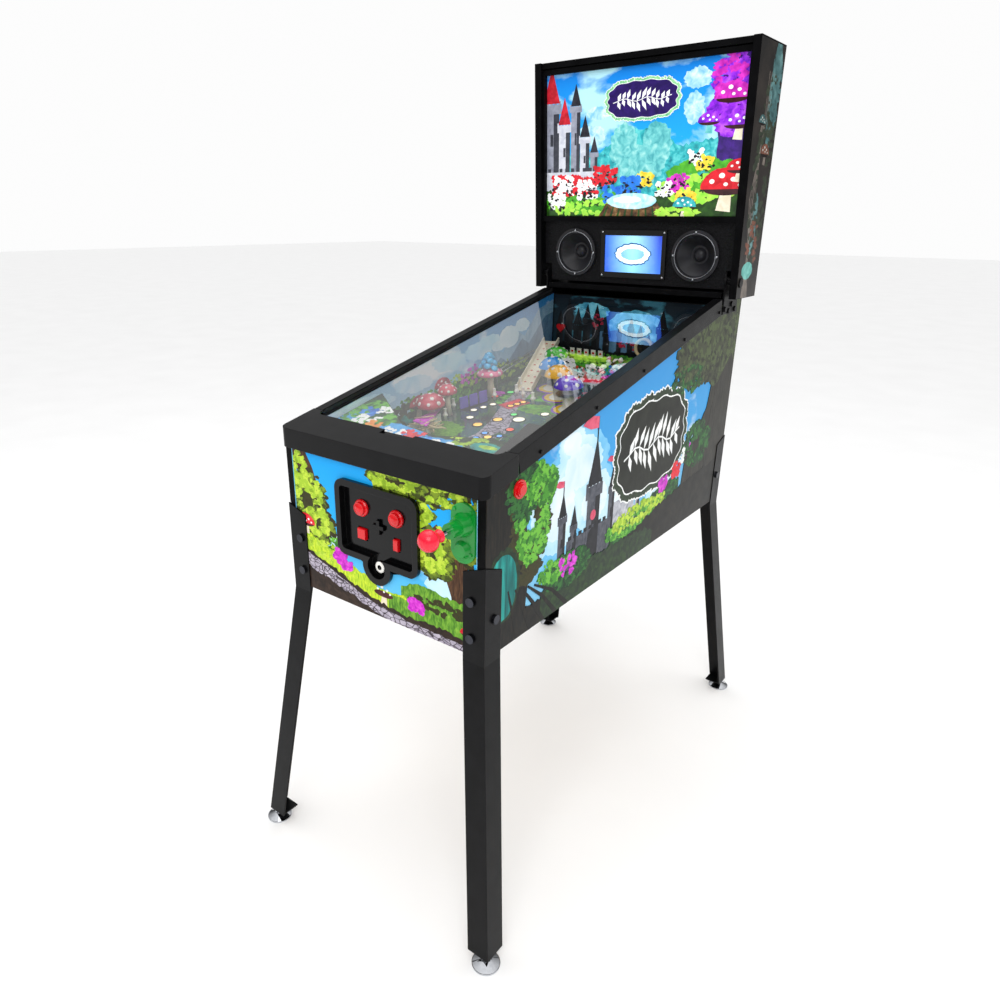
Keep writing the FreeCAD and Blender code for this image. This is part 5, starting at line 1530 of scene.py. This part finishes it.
def ramp_marks(marks):
    """Two rows of red dots up the ramp's floor."""
    turn, rise, pairs, run = math.radians(14), math.radians(17), 9, 0.215
    for i in range(pairs):
        t = (i + 0.5) / pairs
        for side in (-1, 1):
            x = -0.124 - math.sin(turn) * 0.205 * t + 0.009 * side
            y = 0.616 + math.cos(turn) * math.cos(rise) * run * t
            z = 0.0031 + math.sin(rise) * run * t
            marks.lathe((x, y, z), [(0, -0.0004), (0.0028, -0.0004), (0.0028, 0.0006), (0, 0.0008)],
                        segments=10)


def heart_lamp():
    """Red heart on the backboard, from the usual sine-and-cosine heart curve."""
    heart = Moulding("heart_lamp", Vector((0, FRONT, LOW)), UPRIGHT, FORWARD)
    size, points, curve = 0.00075, 40, []
    for i in range(points):
        t = math.tau * i / points
        tall = 13 * math.cos(t) - 5 * math.cos(2 * t) - 2 * math.cos(3 * t) - math.cos(4 * t)
        curve.append((-0.186 + size * 16 * math.sin(t) ** 3, 0.400 + size * tall))
    heart.plate(curve, -BACK_Y + 0.0005, -BACK_Y + 0.005)
    heart.build(M["red"], "cap_plastic", False)


def tunnel_mouth():
    """Round rim on the backboard, with a black disc in its throat as painted shade of the tunnel's depth.
    """
    centre = Vector((0.050, FRONT + BACK_Y, LOW + 0.372))
    mouth = Moulding("tunnel_rim", centre, UPRIGHT, FORWARD)
    mouth.lathe((0, 0, 0), [(0, 0.001), (0.024, 0.001), (0.024, 0.010), (0.021, 0.012), (0.018, 0.010),
                            (0.018, 0.004), (0, 0.004)], segments=32)
    mouth.build(M["tan"], "white_plastic")
    # black disc just behind the rim: painted shade standing for the inside of the tunnel
    throat = Moulding("tunnel_dark", centre, UPRIGHT, FORWARD)
    throat.lathe((0, 0, 0), [(0, 0.0035), (0.0178, 0.0035), (0.0178, 0.005), (0, 0.0052)], segments=32)
    throat.build(M["gloss_black"], "black_plastic")


def toys(materials):
    """Everything that stands on the playfield."""
    rng = random.Random(31)
    mushrooms()
    blue_bloom()
    stick_pile(rng)
    wire_rails()
    rubber_posts()
    raised_plastics(materials)
    flower_bank(rng)
    card_shelf(materials)
    heart_lamp()
    tunnel_mouth()


# ---- light and camera -----------------------------------------------------------------------

def stage():
    """Pale floor, two soft lamps and a white sky that looks darker in glossy surfaces near the horizon."""
    mesh = bmesh.new()
    bmesh.ops.create_grid(mesh, x_segments=1, y_segments=1, size=30)
    s = Shader("pale_floor")
    floor = mesh_object("floor", mesh, s.done(s.mix(s.noise(3, 2), rgb("f4f4f4"), rgb("fbfbfb")), 0.85))
    world = bpy.data.worlds.new("soft_sky")
    world.use_nodes = True
    tree = world.node_tree
    direction = tree.nodes.new("ShaderNodeTexCoord")
    split = tree.nodes.new("ShaderNodeSeparateXYZ")
    overhead = tree.nodes.new("ShaderNodeMapRange")
    overhead.inputs["From Min"].default_value = 0.15
    overhead.inputs["From Max"].default_value = 0.95
    overhead.inputs["To Min"].default_value = 0.10
    overhead.inputs["To Max"].default_value = 1.1
    path = tree.nodes.new("ShaderNodeLightPath")
    choice = tree.nodes.new("ShaderNodeMix")
    choice.inputs["A"].default_value = 0.98
    tree.links.new(direction.outputs["Generated"], split.inputs[0])
    tree.links.new(split.outputs["Z"], overhead.inputs["Value"])
    tree.links.new(path.outputs["Is Glossy Ray"], choice.inputs["Factor"])
    tree.links.new(overhead.outputs[0], choice.inputs["B"])
    tree.links.new(choice.outputs["Result"], tree.nodes["Background"].inputs["Strength"])
    tree.nodes["Background"].inputs["Color"].default_value = (1, 1, 1, 1)
    bpy.context.scene.world = world
    for name, place, aim, size, watts in (("key", (1.6, -2.6, 3.0), (0, 0, 0.8), 2.2, 45),
                                          ("top", (-0.4, 0.2, 3.4), (0, 0, 0.8), 2.6, 30)):
        data = bpy.data.lights.new(name, "AREA")
        data.size = size
        data.energy = watts
        light = bpy.data.objects.new(name, data)
        light.location = place
        light.rotation_euler = (Vector(aim) - Vector(place)).to_track_quat("-Z", "Y").to_euler()
        bpy.context.scene.collection.objects.link(light)


def camera():
    """Camera to the right of the front corner, a little above the glass, turned slightly clockwise."""
    place = Vector((0.8503, FRONT - 0.8339, 1.235))
    aim = Vector((-0.0473, FRONT + 0.305, 0.6801))
    roll = 0.0052
    ahead = (aim - place).normalized()
    right = ahead.cross(UPRIGHT).normalized()
    up = right.cross(ahead)
    turned_right = right * math.cos(roll) + up * math.sin(roll)
    turned_up = up * math.cos(roll) - right * math.sin(roll)
    data = bpy.data.cameras.new("view")
    data.sensor_width = 36
    data.lens = 27.145
    data.shift_x = 0.0325
    data.shift_y = 0.0060
    obj = bpy.data.objects.new("view", data)
    matrix = Matrix((turned_right, turned_up, -ahead)).transposed().to_4x4()
    matrix.translation = place
    obj.matrix_world = matrix
    bpy.context.scene.collection.objects.link(obj)
    bpy.context.scene.camera = obj


dress_frame()
PAINTS = paints()
NIGHT = night_paints()
for flank_side in (-1, 1):
    wall_artwork(PAINTS, flank_side)
    side_artwork(PAINTS, flank_side)
    box_side_artwork(NIGHT, flank_side)
backboard_artwork(PAINTS)
apron_artwork(PAINTS)
field_artwork(PAINTS)
inserts()
toys(PAINTS)
front_artwork(PAINTS)
front_trim()
picture_panel(lit_paints())
screen_picture()
face_screws()
stage()
camera()
bpy.context.scene.view_settings.view_transform = "Standard"
